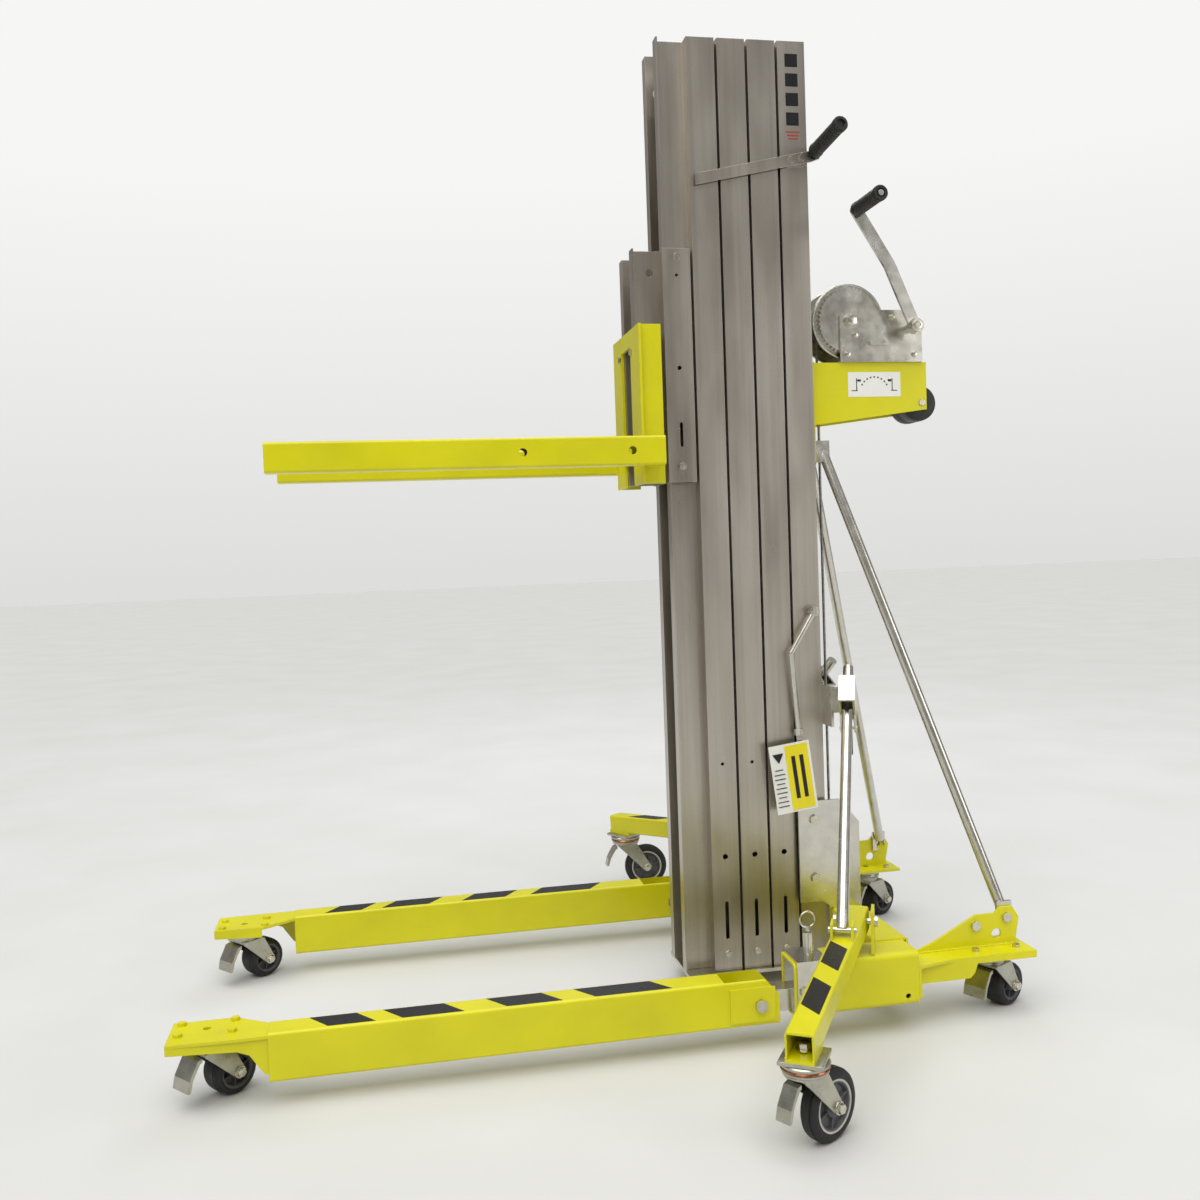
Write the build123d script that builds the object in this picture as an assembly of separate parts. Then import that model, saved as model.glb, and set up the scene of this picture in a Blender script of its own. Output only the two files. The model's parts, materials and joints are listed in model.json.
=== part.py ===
from build123d import *
import math
import os

# Telescoping drywall lift: four nested aluminium mast sections on a wheeled
# folding base, a fork carriage and a hand winch.  Millimetres, +Z up, floor at
# Z = 0.  X points the way the forks point, Y to the lift's left.  Lengths along
# the lift are first given from the front lip of the mast, then moved by MAST_X.

# ---------------------------------------------------------------- driving sizes
MAST_X = -152.47           # mast front lip in the part's own frame
MAST_Z = 38.0              # underside of the mast sections
MAST_LENGTH = 1700.0
SECTION_PITCH = 57.0       # one section to the next, front to back
NECK_DEPTH = 54.0          # front lip to front of the track
TRACK_DEPTH = 52.0
TRACK_HALF = 60.0          # half width over the track faces
LIP_HALF = 54.0
NECK_HALF = 34.0
REAR_GAP_HALF = 37.0       # half width of the slot that the next neck runs in
WALL = 3.0
WEB = 2.0

CARRIAGE_Z = 943.0
CARRIAGE_LENGTH = 420.0

FORK_LENGTH = 673.0
FORK_REAR = 29.0
FORK_HEIGHT = 50.8
FORK_WIDTH = 38.1
FORK_Z = 970.0
TUBE_WALL = 3.0
TUBE_CORNER = 5.0             # outside corner radius of the square tubes
RAIL_CORNER = 10.0            # outside bend radius of the rear side rails
FRAME_HALF = 109.0         # fork frame, half width over the front flange
FRAME_WEB_HALF = 101.0
FRAME_TOP = 1220.0
FRAME_BOTTOM = 940.0
FRAME_PLATE = 5.0
GUSSET_Y = (262.0, 267.0)     # upright gusset on the rear plates, in line with the kingpin
FRAME_FRONT = 62.5

LEG_OUTER = 315.0          # outer face of a front leg
LEG_WIDTH = 50.8
LEG_HEIGHT = 76.2
LEG_BOTTOM = 39.0
LEG_FRONT = 722.0
LEG_REAR = -89.0
LEG_PIVOT_X = -56.0
LEG_PIVOT_Z = 74.0
PIVOT_R = 6.0
RUNNING = 0.05             # radial clearance of a turning fit

RAIL_INNER = 262.0
RAIL_OUTER = 325.0
RAIL_BOTTOM = 48.0
RAIL_TOP = 138.0
RAIL_FRONT = -112.0
RAIL_REAR = -331.0
BEAM_FRONT = -282.0
BEAM_REAR = -342.0
BEAM_BOTTOM = 60.0
BEAM_TOP = 140.0

SMALL_CASTER = dict(wheel_r=37.5, wheel_w=44.0, height=107.0, trail=36.0, axle_r=4.0, crown=9.0)
LARGE_CASTER = dict(wheel_r=51.0, wheel_w=26.0, height=130.0, trail=48.0, axle_r=5.0, crown=8.0)
CASTER_YAW = dict(front_left=40.0, front_right=40.0, rear_left=28.0, rear_right=28.0,
                  outrigger_left=31.0, outrigger_right=0.0)    # degrees, swivels at rest
FRONT_KINGPIN = (817.0, 259.0)
REAR_KINGPIN = (-494.0, 262.0)
PLATE = 5.0

HINGE_X, HINGE_Y, HINGE_Z = -236.0, 288.0, 188.0      # outrigger hinge, left side
ARM_TIP_X, ARM_TIP_Y, ARM_TIP_Z = 6.0, 664.0, 156.5
ARM_SIZE = 40.0
ARM_BEHIND = 16.0
EAR_SHARE = 0.27           # place of the strut ears along the arm
EAR_UP = 31.0              # strut pin above the arm's centre line
LOCK_X, LOCK_Y, LOCK_Z = -306.0, 112.0, 540.0
STRUT_R = 9.5
STRUT_LENGTH = 520.0
RIGHT_SET_BACK = 26.0      # right outrigger sits back, so the struts pass each other

BRACKET_TOP = 1160.0
BRACKET_REAR = -512.0
BRACKET_HALF = 40.0
DRUM_X, DRUM_Z = -360.0, 1237.0
DRUM_FLANGE_R = 71.0
DRUM_CORE_R = 28.0
DRUM_WOUND_R = 48.0
DRUM_HALF = 33.0
SHAFT_X, SHAFT_Z = -471.0, 1220.0
GEAR_R = 62.0
PINION_R = 13.8
GEAR_WIDTH = 8.0
SIDE_PLATE_Y = 46.0
ARM_BEND = (48.0, 112.0)
ARM_END = (110.0, 210.0)
CRANK_Y = 78.0
GRIP_LENGTH = 104.0
ROLLER_X, ROLLER_Z, ROLLER_R = -502.0, 1084.0, 34.0
PAWL_X, PAWL_Z = -424.0, 1196.0

CABLE_R = 2.5
SHEAVE_R = 22.0            # to the middle of the cable
SHEAVE_X = DRUM_X + DRUM_WOUND_R + CABLE_R + 0.4 + SHEAVE_R
SHEAVE_Z = 118.0
HOLD_PIVOT = (-260.0, 699.0)
ROD_R = 5.0


# ---------------------------------------------------------------- shape helpers
def block(x0, x1, y0, y1, z0, z1):
    """A box between two corners, X counted from the mast's front lip."""
    size = Box(x1 - x0, y1 - y0, z1 - z0)
    return Pos(MAST_X + (x0 + x1) / 2, (y0 + y1) / 2, (z0 + z1) / 2) * size


def rounded_tube(outer, inner, direction, corner):
    """A hollow tube from two blocks, its long outside edges rounded."""
    return fillet(outer.edges().filter_by(direction), corner) - inner


def point(x, y, z):
    """A point counted from the mast's front lip."""
    return Vector(MAST_X + x, y, z)


def rod_between(a, b, radius):
    """A round bar from point a to point b."""
    return extrude(Plane(origin=a, z_dir=b - a) * Circle(radius), (b - a).length)


def rod_x(x0, x1, y, z, radius):
    return rod_between(point(x0, y, z), point(x1, y, z), radius)


def rod_y(x, y0, y1, z, radius):
    return rod_between(point(x, y0, z), point(x, y1, z), radius)


def rod_z(x, y, z0, z1, radius):
    return rod_between(point(x, y, z0), point(x, y, z1), radius)


def plate_xz(outline, y0, y1):
    """A flat plate with an outline in X and Z, between two Y values."""
    edges = Polyline([point(x, y0, z) for x, z in outline], close=True)
    return extrude(make_face(edges), y1 - y0, dir=(0, 1, 0))


def hex_y(x, y0, y1, z, across):
    """A hexagon head or nut standing along Y."""
    base = Plane(origin=point(x, y0, z), z_dir=(0, 1, 0))
    return extrude(base * RegularPolygon(across / 2, 6, major_radius=False), abs(y1 - y0))


def hex_z(x, y, z0, z1, across):
    base = Plane(origin=point(x, y, z0), z_dir=(0, 0, 1))
    return extrude(base * RegularPolygon(across / 2, 6, major_radius=False), z1 - z0)


def hex_x(x0, x1, y, z, across):
    base = Plane(origin=point(x0, y, z), z_dir=(1, 0, 0))
    return extrude(base * RegularPolygon(across / 2, 6, major_radius=False), x1 - x0)


def mirrored(shape):
    """The same piece on the lift's other side."""
    return mirror(shape, about=Plane.XZ)


def both(shape):
    return [shape, mirrored(shape)]


def write(name, *shapes):
    """Export one node as its separate solids."""
    solids = []
    for shape in shapes:
        solids.extend(shape.solids())
    export_step(Compound(children=solids), f"parts/{name}.step")


# ---------------------------------------------------------------- mast
def rectangle(x0, x1, y0, y1):
    return Pos((x0 + x1) / 2, (y0 + y1) / 2) * Rectangle(x1 - x0, y1 - y0)


def section_outline(lip):
    """Plan outline of one extruded section whose front lip is at X = lip."""
    web_x = lip - NECK_DEPTH
    rear = web_x - TRACK_DEPTH
    outline = rectangle(web_x - WEB, web_x, -TRACK_HALF, TRACK_HALF)
    for side in (1, -1):
        lip_y = sorted((side * (NECK_HALF - WALL), side * LIP_HALF))
        neck_y = sorted((side * (NECK_HALF - WALL), side * NECK_HALF))
        wall_y = sorted((side * (TRACK_HALF - WALL), side * TRACK_HALF))
        flange_y = sorted((side * REAR_GAP_HALF, side * TRACK_HALF))
        outline += rectangle(lip - WALL, lip, *lip_y)
        outline += rectangle(web_x, lip, *neck_y)
        outline += rectangle(rear, web_x, *wall_y)
        outline += rectangle(rear, rear + WALL, *flange_y)
    return Pos(MAST_X, 0) * outline


def mast_section(lip, z0, length):
    return extrude(Pos(0, 0, z0) * section_outline(lip), length)


def side_hole(x, z, radius):
    return rod_y(x, -TRACK_HALF - 1, TRACK_HALF + 1, z, radius)


def side_slot(x, z0, z1, radius):
    """A vertical slot through both track faces."""
    span = TRACK_HALF + 1
    return (side_hole(x, z0, radius) + side_hole(x, z1, radius)
            + block(x - radius, x + radius, -span, span, z0, z1))


def moving_section(number):
    """Sections 1 to 3, with the bottom holes, slot and stop bolts."""
    lip = -SECTION_PITCH * (number - 1)
    middle = lip - NECK_DEPTH - TRACK_DEPTH / 2
    body = mast_section(lip, MAST_Z, MAST_LENGTH)
    body -= side_hole(middle, 251.0, 5.0)
    body -= side_slot(middle, 100.0, 164.0, 3.5)
    if number < 3:
        body -= side_hole(middle, 424.0, 3.0)
    return body


def stop_bolts(number):
    """Bolt heads low on the track faces of one section."""
    x = -SECTION_PITCH * (number - 1) - NECK_DEPTH - TRACK_DEPTH / 2
    head = hex_y(x, TRACK_HALF, TRACK_HALF + 1.6, 70.0, 11.0)
    return both(head)


def sheave(radius, width, x, z, bore):
    """A grooved cable wheel turning about Y."""
    wheel = rod_y(x, -width / 2, width / 2, z, radius)
    groove = rod_y(x, -CABLE_R - 0.5, CABLE_R + 0.5, z, radius + 1)
    groove -= rod_y(x, -CABLE_R - 0.5, CABLE_R + 0.5, z, radius - 2 * CABLE_R - 1)
    return wheel - groove - rod_y(x, -width, width, z, bore)


LIFT_SHEAVE_X, LIFT_SHEAVE_Z = -28.0, 1660.0


def make_mast():
    for number in (1, 2, 3):
        pieces = [moving_section(number)] + stop_bolts(number)
        if number == 1:
            inner = NECK_HALF - WALL
            pieces.append(rod_y(LIFT_SHEAVE_X, -inner, inner, LIFT_SHEAVE_Z, 5.0))
        write(f"mast_section_{number}", *pieces)
    write("lift_sheave", sheave(20.0, 16.0, LIFT_SHEAVE_X, LIFT_SHEAVE_Z, 5.0 + RUNNING))
    write("mast_section_4", mast_section(-3 * SECTION_PITCH, MAST_Z, MAST_LENGTH))


# ---------------------------------------------------------------- carriage and forks
def make_carriage():
    lip = SECTION_PITCH
    middle = lip - NECK_DEPTH - TRACK_DEPTH / 2
    body = mast_section(lip, CARRIAGE_Z, CARRIAGE_LENGTH)
    body -= side_hole(middle, 1315.0, 3.0) + side_hole(middle, 1149.0, 4.0)
    body -= side_slot(middle, 1010.0, 1049.0, 2.8)
    body -= rod_y(21.0, -NECK_HALF - 1, NECK_HALF + 1, 1324.0, 7.0)
    write("carriage_section", body)
    heads = []
    for z in (1347.0, 972.0):
        heads += both(hex_y(middle, TRACK_HALF, TRACK_HALF + 5, z, 13.0))
    for z in (1000.0, 1180.0):
        for y in (LIP_HALF - 8, -LIP_HALF + 8):
            heads.append(hex_x(FRAME_FRONT, FRAME_FRONT + 4, y, z, 11.0))
    write("carriage_bolts", *heads)


def fork_frame():
    """Inverted U of folded plate: front flange and recessed side webs."""
    back = SECTION_PITCH + 0.5
    shape = block(back, FRAME_FRONT, -FRAME_HALF, FRAME_HALF, FRAME_BOTTOM, FRAME_TOP)
    shape -= block(back - 1, FRAME_FRONT + 1, -LIP_HALF + 16, LIP_HALF - 16,
                   FRAME_BOTTOM - 1, FRAME_TOP - 30)
    for side in (1, -1):
        y0, y1 = sorted((side * (FRAME_WEB_HALF - FRAME_PLATE), side * FRAME_WEB_HALF))
        shape += block(20.0, back, y0, y1, FRAME_BOTTOM, FRAME_TOP)
    shape += block(back, FRAME_FRONT, -LIP_HALF, LIP_HALF, FORK_Z + 10, FORK_Z + 40)
    shape += block(20.0, back, -FRAME_WEB_HALF, FRAME_WEB_HALF, FRAME_TOP - FRAME_PLATE,
                   FRAME_TOP) - block(19.0, back, -TRACK_HALF - 0.5, TRACK_HALF + 0.5,
                                      FRAME_BOTTOM, FRAME_TOP + 1)
    return shape


def fork(side):
    """One rectangular fork tube with two cross holes, closed at the front."""
    inner = FRAME_HALF + 0.2
    y0, y1 = sorted((side * inner, side * (inner + FORK_WIDTH)))
    front = FORK_REAR + FORK_LENGTH
    inside = block(FORK_REAR - 1, front - TUBE_WALL, y0 + TUBE_WALL, y1 - TUBE_WALL,
                   FORK_Z + TUBE_WALL, FORK_Z + FORK_HEIGHT - TUBE_WALL)
    tube = rounded_tube(block(FORK_REAR, front, y0, y1, FORK_Z, FORK_Z + FORK_HEIGHT), inside,
                        Axis.X, TUBE_CORNER)
    for x in (88.0, 278.0):
        tube -= rod_y(x, y0 - 1, y1 + 1, FORK_Z + FORK_HEIGHT / 2, 7.0)
    return tube


def fork_mount(side):
    """Spacer block that carries a fork on the frame's side web."""
    y0, y1 = sorted((side * FRAME_WEB_HALF, side * (FRAME_HALF + 0.2)))
    return block(FORK_REAR, 56.0, y0, y1, FORK_Z + 4, FORK_Z + FORK_HEIGHT - 4)


def make_forks():
    write("fork_frame", fork_frame(), fork_mount(1), fork_mount(-1))
    write("forks", fork(1), fork(-1))


# ---------------------------------------------------------------- winch
def make_winch_bracket():
    """Folded box bracket behind the mast with its bolting plate."""
    mast_back = -3 * SECTION_PITCH - NECK_DEPTH - TRACK_DEPTH
    front = mast_back - 6.0
    plate = block(front, mast_back, -50.0, 50.0, 975.0, BRACKET_TOP)
    outline = [(front, 1044.0), (front, BRACKET_TOP), (BRACKET_REAR, BRACKET_TOP),
               (BRACKET_REAR, 1071.0)]
    side = plate_xz(outline, BRACKET_HALF - 4, BRACKET_HALF)
    side -= rod_y(ROLLER_X, 0, 60, ROLLER_Z, PIVOT_R + RUNNING)
    top = block(BRACKET_REAR, front, -BRACKET_HALF, BRACKET_HALF, BRACKET_TOP - 4, BRACKET_TOP)
    top -= block(-425.0, -295.0, -12.0, 12.0, BRACKET_TOP - 5, BRACKET_TOP + 1)
    write("winch_bracket", plate + side + mirrored(side) + top)
    roller = rod_y(ROLLER_X, -33.0, 33.0, ROLLER_Z, ROLLER_R)
    roller = fillet(roller.edges(), 4.0)
    write("transport_roller", roller - rod_y(ROLLER_X, -40, 40, ROLLER_Z, PIVOT_R + RUNNING))


def winch_side_plate():
    """Left winch cheek with its foot folded inwards over the bracket."""
    foot = 1160.0
    rear = -502.0
    top = 1257.0
    outline = [(-338.0, foot), (-338.0, 1246.0), (-352.0, top), (-470.0, top),
               (-490.0, 1246.0), (rear, 1228.0), (rear, foot)]
    cheek = plate_xz(outline, SIDE_PLATE_Y - 3, SIDE_PLATE_Y)
    base = block(rear, -338.0, 34.0, SIDE_PLATE_Y - 3, foot, foot + 3)
    for x, z, r in ((DRUM_X, DRUM_Z, 8.0), (SHAFT_X, SHAFT_Z, 8.0)):
        cheek -= rod_y(x, 0, 100, z, r + RUNNING)
    return cheek + base


SHAFT_SPAN = math.hypot(SHAFT_X - DRUM_X, SHAFT_Z - DRUM_Z)
IDLER_R = (SHAFT_SPAN - GEAR_R - PINION_R) / 2
IDLER_SHARE = (GEAR_R + IDLER_R) / SHAFT_SPAN
IDLER_X = DRUM_X + (SHAFT_X - DRUM_X) * IDLER_SHARE
IDLER_Z = DRUM_Z + (SHAFT_Z - DRUM_Z) * IDLER_SHARE
GEAR_Y = 34.5


def gear(x, z, radius, teeth, bore, y0=GEAR_Y):
    """A spur gear about Y whose tooth tips just clear its neighbour's."""
    tip = radius - 0.4
    root = tip - 3.0
    disc = rod_y(x, y0, y0 + GEAR_WIDTH, z, root)
    half = math.pi / teeth * 0.5
    tooth_outline = [(-root * half * 1.2, root - 1), (root * half * 1.2, root - 1),
                     (tip * half * 0.6, tip), (-tip * half * 0.6, tip)]
    for number in range(teeth):
        turn = 2 * math.pi * number / teeth
        corners = [(x + a * math.cos(turn) + b * math.sin(turn),
                    z - a * math.sin(turn) + b * math.cos(turn)) for a, b in tooth_outline]
        disc += plate_xz(corners, y0, y0 + GEAR_WIDTH)
    return disc - rod_y(x, y0 - 1, y0 + GEAR_WIDTH + 1, z, bore)


def drum():
    """Cable drum: core, two flanges and the layers of wound cable."""
    core = rod_y(DRUM_X, -DRUM_HALF, DRUM_HALF, DRUM_Z, DRUM_CORE_R)
    for y in (-DRUM_HALF, DRUM_HALF - 2):
        core += rod_y(DRUM_X, y, y + 2, DRUM_Z, DRUM_FLANGE_R)
    return core - rod_y(DRUM_X, -60, 60, DRUM_Z, 8.0 + RUNNING)


def wound_cable():
    """The cable on the drum, its turns side by side."""
    turns = int((2 * DRUM_HALF - 6) / (2 * CABLE_R))
    y = -DRUM_HALF + 3
    roll = rod_y(DRUM_X, -DRUM_HALF + 2.2, DRUM_HALF - 2.2, DRUM_Z, DRUM_WOUND_R - CABLE_R)
    for number in range(turns):
        middle = y + (number + 0.5) * 2 * CABLE_R
        roll += rod_y(DRUM_X, middle - 1.6, middle + 1.6, DRUM_Z, DRUM_WOUND_R)
    return roll - rod_y(DRUM_X, -60, 60, DRUM_Z, DRUM_CORE_R)


def crank():
    """Crank shaft with pinion seat, arm of flat bar and grip pin."""
    shaft = rod_y(SHAFT_X, -SIDE_PLATE_Y - 4, CRANK_Y, SHAFT_Z, 8.0)
    width = 11.0
    points = [(0.0, 0.0), ARM_BEND, ARM_END]
    arm = None
    for (ax, az), (bx, bz) in zip(points, points[1:]):
        length = math.hypot(bx - ax, bz - az)
        px, pz = -(bz - az) / length * width, (bx - ax) / length * width
        outline = [(SHAFT_X + ax + px, SHAFT_Z + az + pz), (SHAFT_X + bx + px, SHAFT_Z + bz + pz),
                   (SHAFT_X + bx - px, SHAFT_Z + bz - pz), (SHAFT_X + ax - px, SHAFT_Z + az - pz)]
        bar = plate_xz(outline, CRANK_Y, CRANK_Y + 6)
        bar += rod_y(SHAFT_X + bx, CRANK_Y, CRANK_Y + 6, SHAFT_Z + bz, width)
        arm = bar if arm is None else arm + bar
    arm += rod_y(SHAFT_X, CRANK_Y, CRANK_Y + 6, SHAFT_Z, 15.0)
    end_x, end_z = SHAFT_X + ARM_END[0], SHAFT_Z + ARM_END[1]
    pin = rod_y(end_x, CRANK_Y + 6, CRANK_Y + 6 + GRIP_LENGTH + 1, end_z, 5.0)
    return shaft + arm + pin


def make_winch():
    make_winch_bracket()
    cheek = winch_side_plate()
    axle = rod_y(DRUM_X, -SIDE_PLATE_Y - 5, SIDE_PLATE_Y + 5, DRUM_Z, 8.0)
    nuts = [rod_y(DRUM_X, y, y + 5, DRUM_Z, 12.0) - rod_y(DRUM_X, y - 1, y + 6, DRUM_Z, 8.0)
            for y in (SIDE_PLATE_Y + 0.1, -SIDE_PLATE_Y - 5.1)]
    stub = rod_y(IDLER_X, GEAR_Y - 1, SIDE_PLATE_Y - 3, IDLER_Z, 5.0)
    write("winch_side_plates", cheek, mirrored(cheek))
    pawl_pin = rod_y(PAWL_X, SIDE_PLATE_Y, SIDE_PLATE_Y + 8, PAWL_Z, 3.0)
    roller_axle = rod_y(ROLLER_X, -BRACKET_HALF - 2, BRACKET_HALF + 2, ROLLER_Z, PIVOT_R)
    write("winch_axles", axle, stub, pawl_pin, roller_axle, *nuts)
    drum_gear = gear(DRUM_X, DRUM_Z, GEAR_R, 45, 8.0 + RUNNING)
    write("winch_drum", drum(), wound_cable(), drum_gear)
    write("idler_gear", gear(IDLER_X, IDLER_Z, IDLER_R, 13, 5.0 + RUNNING))
    pinion = gear(SHAFT_X, SHAFT_Z, PINION_R, 10, 8.0)
    nut = hex_y(SHAFT_X, CRANK_Y + 6, CRANK_Y + 16, SHAFT_Z, 22.0)
    write("crank", crank(), pinion, nut)
    end_x, end_z = SHAFT_X + ARM_END[0], SHAFT_Z + ARM_END[1]
    start = CRANK_Y + 6.5
    grip = rod_y(end_x, start, start + GRIP_LENGTH, end_z, 14.0)
    grip = fillet(grip.edges(), 5.0)
    write("crank_grip", grip - rod_y(end_x, start - 1, start + GRIP_LENGTH + 3, end_z, 5.0 + RUNNING))
    pawl = plate_xz([(PAWL_X - 8, PAWL_Z - 6), (PAWL_X + 26, PAWL_Z - 5), (PAWL_X + 30, PAWL_Z + 3),
                     (PAWL_X - 8, PAWL_Z + 7)], SIDE_PLATE_Y + 0.5, SIDE_PLATE_Y + 5.5)
    write("ratchet_pawl", pawl - rod_y(PAWL_X, 0, 100, PAWL_Z, 3.0 + RUNNING))


def make_cable_route():
    """Vertical fall, half turn under the foot sheave and the run up the mast."""
    fall_x = SHEAVE_X - SHEAVE_R
    rise_x = SHEAVE_X + SHEAVE_R
    fall = rod_z(fall_x, 0, SHEAVE_Z, DRUM_Z, CABLE_R)
    rise = rod_z(rise_x, 0, SHEAVE_Z, MAST_Z + MAST_LENGTH - 60, CABLE_R)
    turn = Torus(SHEAVE_R, CABLE_R, rotation=(90, 0, 0))
    turn = Pos(point(SHEAVE_X, 0, SHEAVE_Z)) * turn
    reach = SHEAVE_R + 3 * CABLE_R
    turn &= block(SHEAVE_X - reach, SHEAVE_X + reach, -reach, reach, SHEAVE_Z - reach, SHEAVE_Z)
    write("winch_cable", fall + turn + rise)
    hub = sheave(SHEAVE_R - CABLE_R + 4.0, 14.0, SHEAVE_X, SHEAVE_Z, 5.0 + RUNNING)
    groove = rod_y(SHEAVE_X, -CABLE_R - 1, CABLE_R + 1, SHEAVE_Z, SHEAVE_R + 9)
    groove -= rod_y(SHEAVE_X, -CABLE_R - 1, CABLE_R + 1, SHEAVE_Z, SHEAVE_R - CABLE_R - 0.4)
    write("foot_sheave", hub - groove)


# ---------------------------------------------------------------- base
def make_base():
    beam = rounded_tube(
        block(BEAM_REAR, BEAM_FRONT, -RAIL_INNER, RAIL_INNER, BEAM_BOTTOM, BEAM_TOP),
        block(BEAM_REAR + 4, BEAM_FRONT - 4, -300, 300, BEAM_BOTTOM + 4, BEAM_TOP - 4),
        Axis.Y, TUBE_CORNER)
    beam -= block(BEAM_FRONT - 36, BEAM_FRONT + 1, -12, 12, BEAM_BOTTOM - 1, BEAM_TOP + 1)
    write("cross_beam", beam)
    mast_back = -3 * SECTION_PITCH - NECK_DEPTH - TRACK_DEPTH
    foot = block(mast_back - 5, -2.0, -70, 70, MAST_Z - 7, MAST_Z - 0.5)
    foot += block(mast_back - 5, mast_back, -70, -16, MAST_Z - 1, BEAM_TOP + 60)
    foot += block(mast_back - 5, mast_back, 16, 70, MAST_Z - 1, BEAM_TOP + 60)
    outline = [(-219.0, 155.0), (-219.0, 345.0), (-300.0, 345.0), (-338.0, 300.0),
               (-338.0, BEAM_TOP), (-284.0, BEAM_TOP), (-262.0, 155.0)]
    gusset = plate_xz(outline, 70.0, 74.0)
    spacer = block(-270.0, -232.0, TRACK_HALF, 70.0, 180.0, 330.0)
    pin = rod_y(SHEAVE_X, -12.0, 12.0, SHEAVE_Z, 5.0)
    write("mast_foot", foot, *both(gusset), *both(spacer), pin)


def side_rail():
    """Rear side rail of the left side, hollow, with a cross hole."""
    rail = block(RAIL_REAR, RAIL_FRONT, RAIL_INNER + 0.2, RAIL_OUTER, RAIL_BOTTOM, RAIL_TOP)
    long_edges = rail.edges().filter_by(Axis.X).group_by(Axis.Y)[-1]
    rail = fillet(long_edges, RAIL_CORNER)
    rail -= block(RAIL_REAR + 4, RAIL_FRONT + 1, RAIL_INNER + 4.2, RAIL_OUTER - 4,
                  RAIL_BOTTOM + 4, RAIL_TOP - 4)
    return rail - rod_y(-311.0, RAIL_OUTER - 5, RAIL_OUTER + 1, 64.0, 4.5)


TONGUE_Y = (RAIL_INNER + 12.0, RAIL_OUTER - 18.0)


def leg_bracket():
    """Zinc hinge tongue in the rail's mouth and the saddle that stiffens it."""
    y0, y1 = TONGUE_Y
    tongue = block(-120.0, LEG_PIVOT_X + 20, y0, y1, LEG_PIVOT_Z - 18, LEG_PIVOT_Z + 18)
    tongue += block(-150.0, RAIL_FRONT - 2, RAIL_INNER + 4.2, RAIL_OUTER - 4, RAIL_BOTTOM + 4,
                    RAIL_TOP - 4)
    tongue = tongue - rod_y(LEG_PIVOT_X, 200, 400, LEG_PIVOT_Z, PIVOT_R + RUNNING)
    saddle = block(-172.0, -116.0, RAIL_INNER - 3.3, RAIL_OUTER + 3.5, RAIL_BOTTOM + 8, RAIL_TOP + 3.5)
    saddle -= block(-173.0, -115.0, RAIL_INNER - 0.1, RAIL_OUTER + 0.3, RAIL_BOTTOM, RAIL_TOP + 0.3)
    return tongue, saddle


PLUNGER_X, PLUNGER_Y = -150.0, 290.0


def plunger_parts():
    """Barrel of the leg lock and its pull pin with a ring."""
    foot = RAIL_TOP + 3.6
    barrel = rod_z(PLUNGER_X, PLUNGER_Y, foot, foot + 36, 9.0)
    barrel -= rod_z(PLUNGER_X, PLUNGER_Y, foot - 1, foot + 40, 4.0 + RUNNING)
    pin = rod_z(PLUNGER_X, PLUNGER_Y, foot + 1, foot + 46, 4.0)
    ring = Pos(point(PLUNGER_X, PLUNGER_Y, foot + 57)) * Torus(13.0, 1.8, rotation=(90, 0, 0))
    return barrel, pin + ring


def leg_tube():
    """Folding front leg, open at the rear, slotted on top beside the hinge."""
    y0, y1 = LEG_OUTER - LEG_WIDTH, LEG_OUTER
    top = LEG_BOTTOM + LEG_HEIGHT
    inside = block(LEG_REAR - 1, LEG_FRONT - TUBE_WALL, y0 + TUBE_WALL, y1 - TUBE_WALL,
                   LEG_BOTTOM + TUBE_WALL, top - TUBE_WALL)
    tube = rounded_tube(block(LEG_REAR, LEG_FRONT, y0, y1, LEG_BOTTOM, top), inside, Axis.X,
                        TUBE_CORNER)
    tube -= block(LEG_REAR - 1, LEG_PIVOT_X + 60, y0 + TUBE_WALL, y1 - TUBE_WALL,
                  top - TUBE_WALL - 1, top + 1)
    corner = [(LEG_REAR - 1, top + 1), (LEG_REAR + 26, top + 1), (LEG_REAR - 1, top - 27)]
    tube -= plate_xz(corner, y0 - 1, y1 + 1)
    pin_hole = rod_y(LEG_PIVOT_X, y0 - 1, y1 + 5, LEG_PIVOT_Z, PIVOT_R + RUNNING)
    doubler = block(LEG_REAR + 8, -4.0, y1, y1 + 3, LEG_BOTTOM + 8, top - 12)
    return tube - pin_hole, doubler - pin_hole


def leg_pin():
    """Hinge bolt of the front leg with its head and nut."""
    y0, y1 = LEG_OUTER - LEG_WIDTH, LEG_OUTER + 3
    pin = rod_y(LEG_PIVOT_X, y0 - 9, y1 + 1, LEG_PIVOT_Z, PIVOT_R)
    head = hex_y(LEG_PIVOT_X, y1 + 0.5, y1 + 7, LEG_PIVOT_Z, 19.0)
    nut = hex_y(LEG_PIVOT_X, y0 - 9, y0 - 1, LEG_PIVOT_Z, 19.0)
    return pin + head + nut


def front_caster_plate():
    """Flared plate with flanges that carries the caster ahead of the tube."""
    base = SMALL_CASTER["height"]
    y1 = LEG_OUTER
    outline = [(LEG_FRONT, LEG_OUTER - LEG_WIDTH), (778.0, 226.0), (871.0, 226.0),
               (871.0, 312.0), (778.0, y1), (LEG_FRONT, y1)]
    edges = Polyline([point(x, y, base) for x, y in outline], close=True)
    plate = extrude(make_face(edges), PLATE, dir=(0, 0, 1))
    flange_outline = [(LEG_FRONT, base), (LEG_FRONT, 52.0), (728.0, 52.0), (738.0, 66.0),
                      (750.0, 84.0), (768.0, 91.0), (871.0, 96.0), (871.0, base)]
    for y in (307.0, 226.0):
        start = 782.0 if y < 250 else LEG_FRONT
        flange = plate_xz(flange_outline, y, y + 5)
        if start > LEG_FRONT:
            flange -= block(LEG_FRONT - 1, start, 200, 260, 0, 200)
        plate += flange
    return plate - rod_z(*FRONT_KINGPIN, 90, 130, 6.0)


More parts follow.
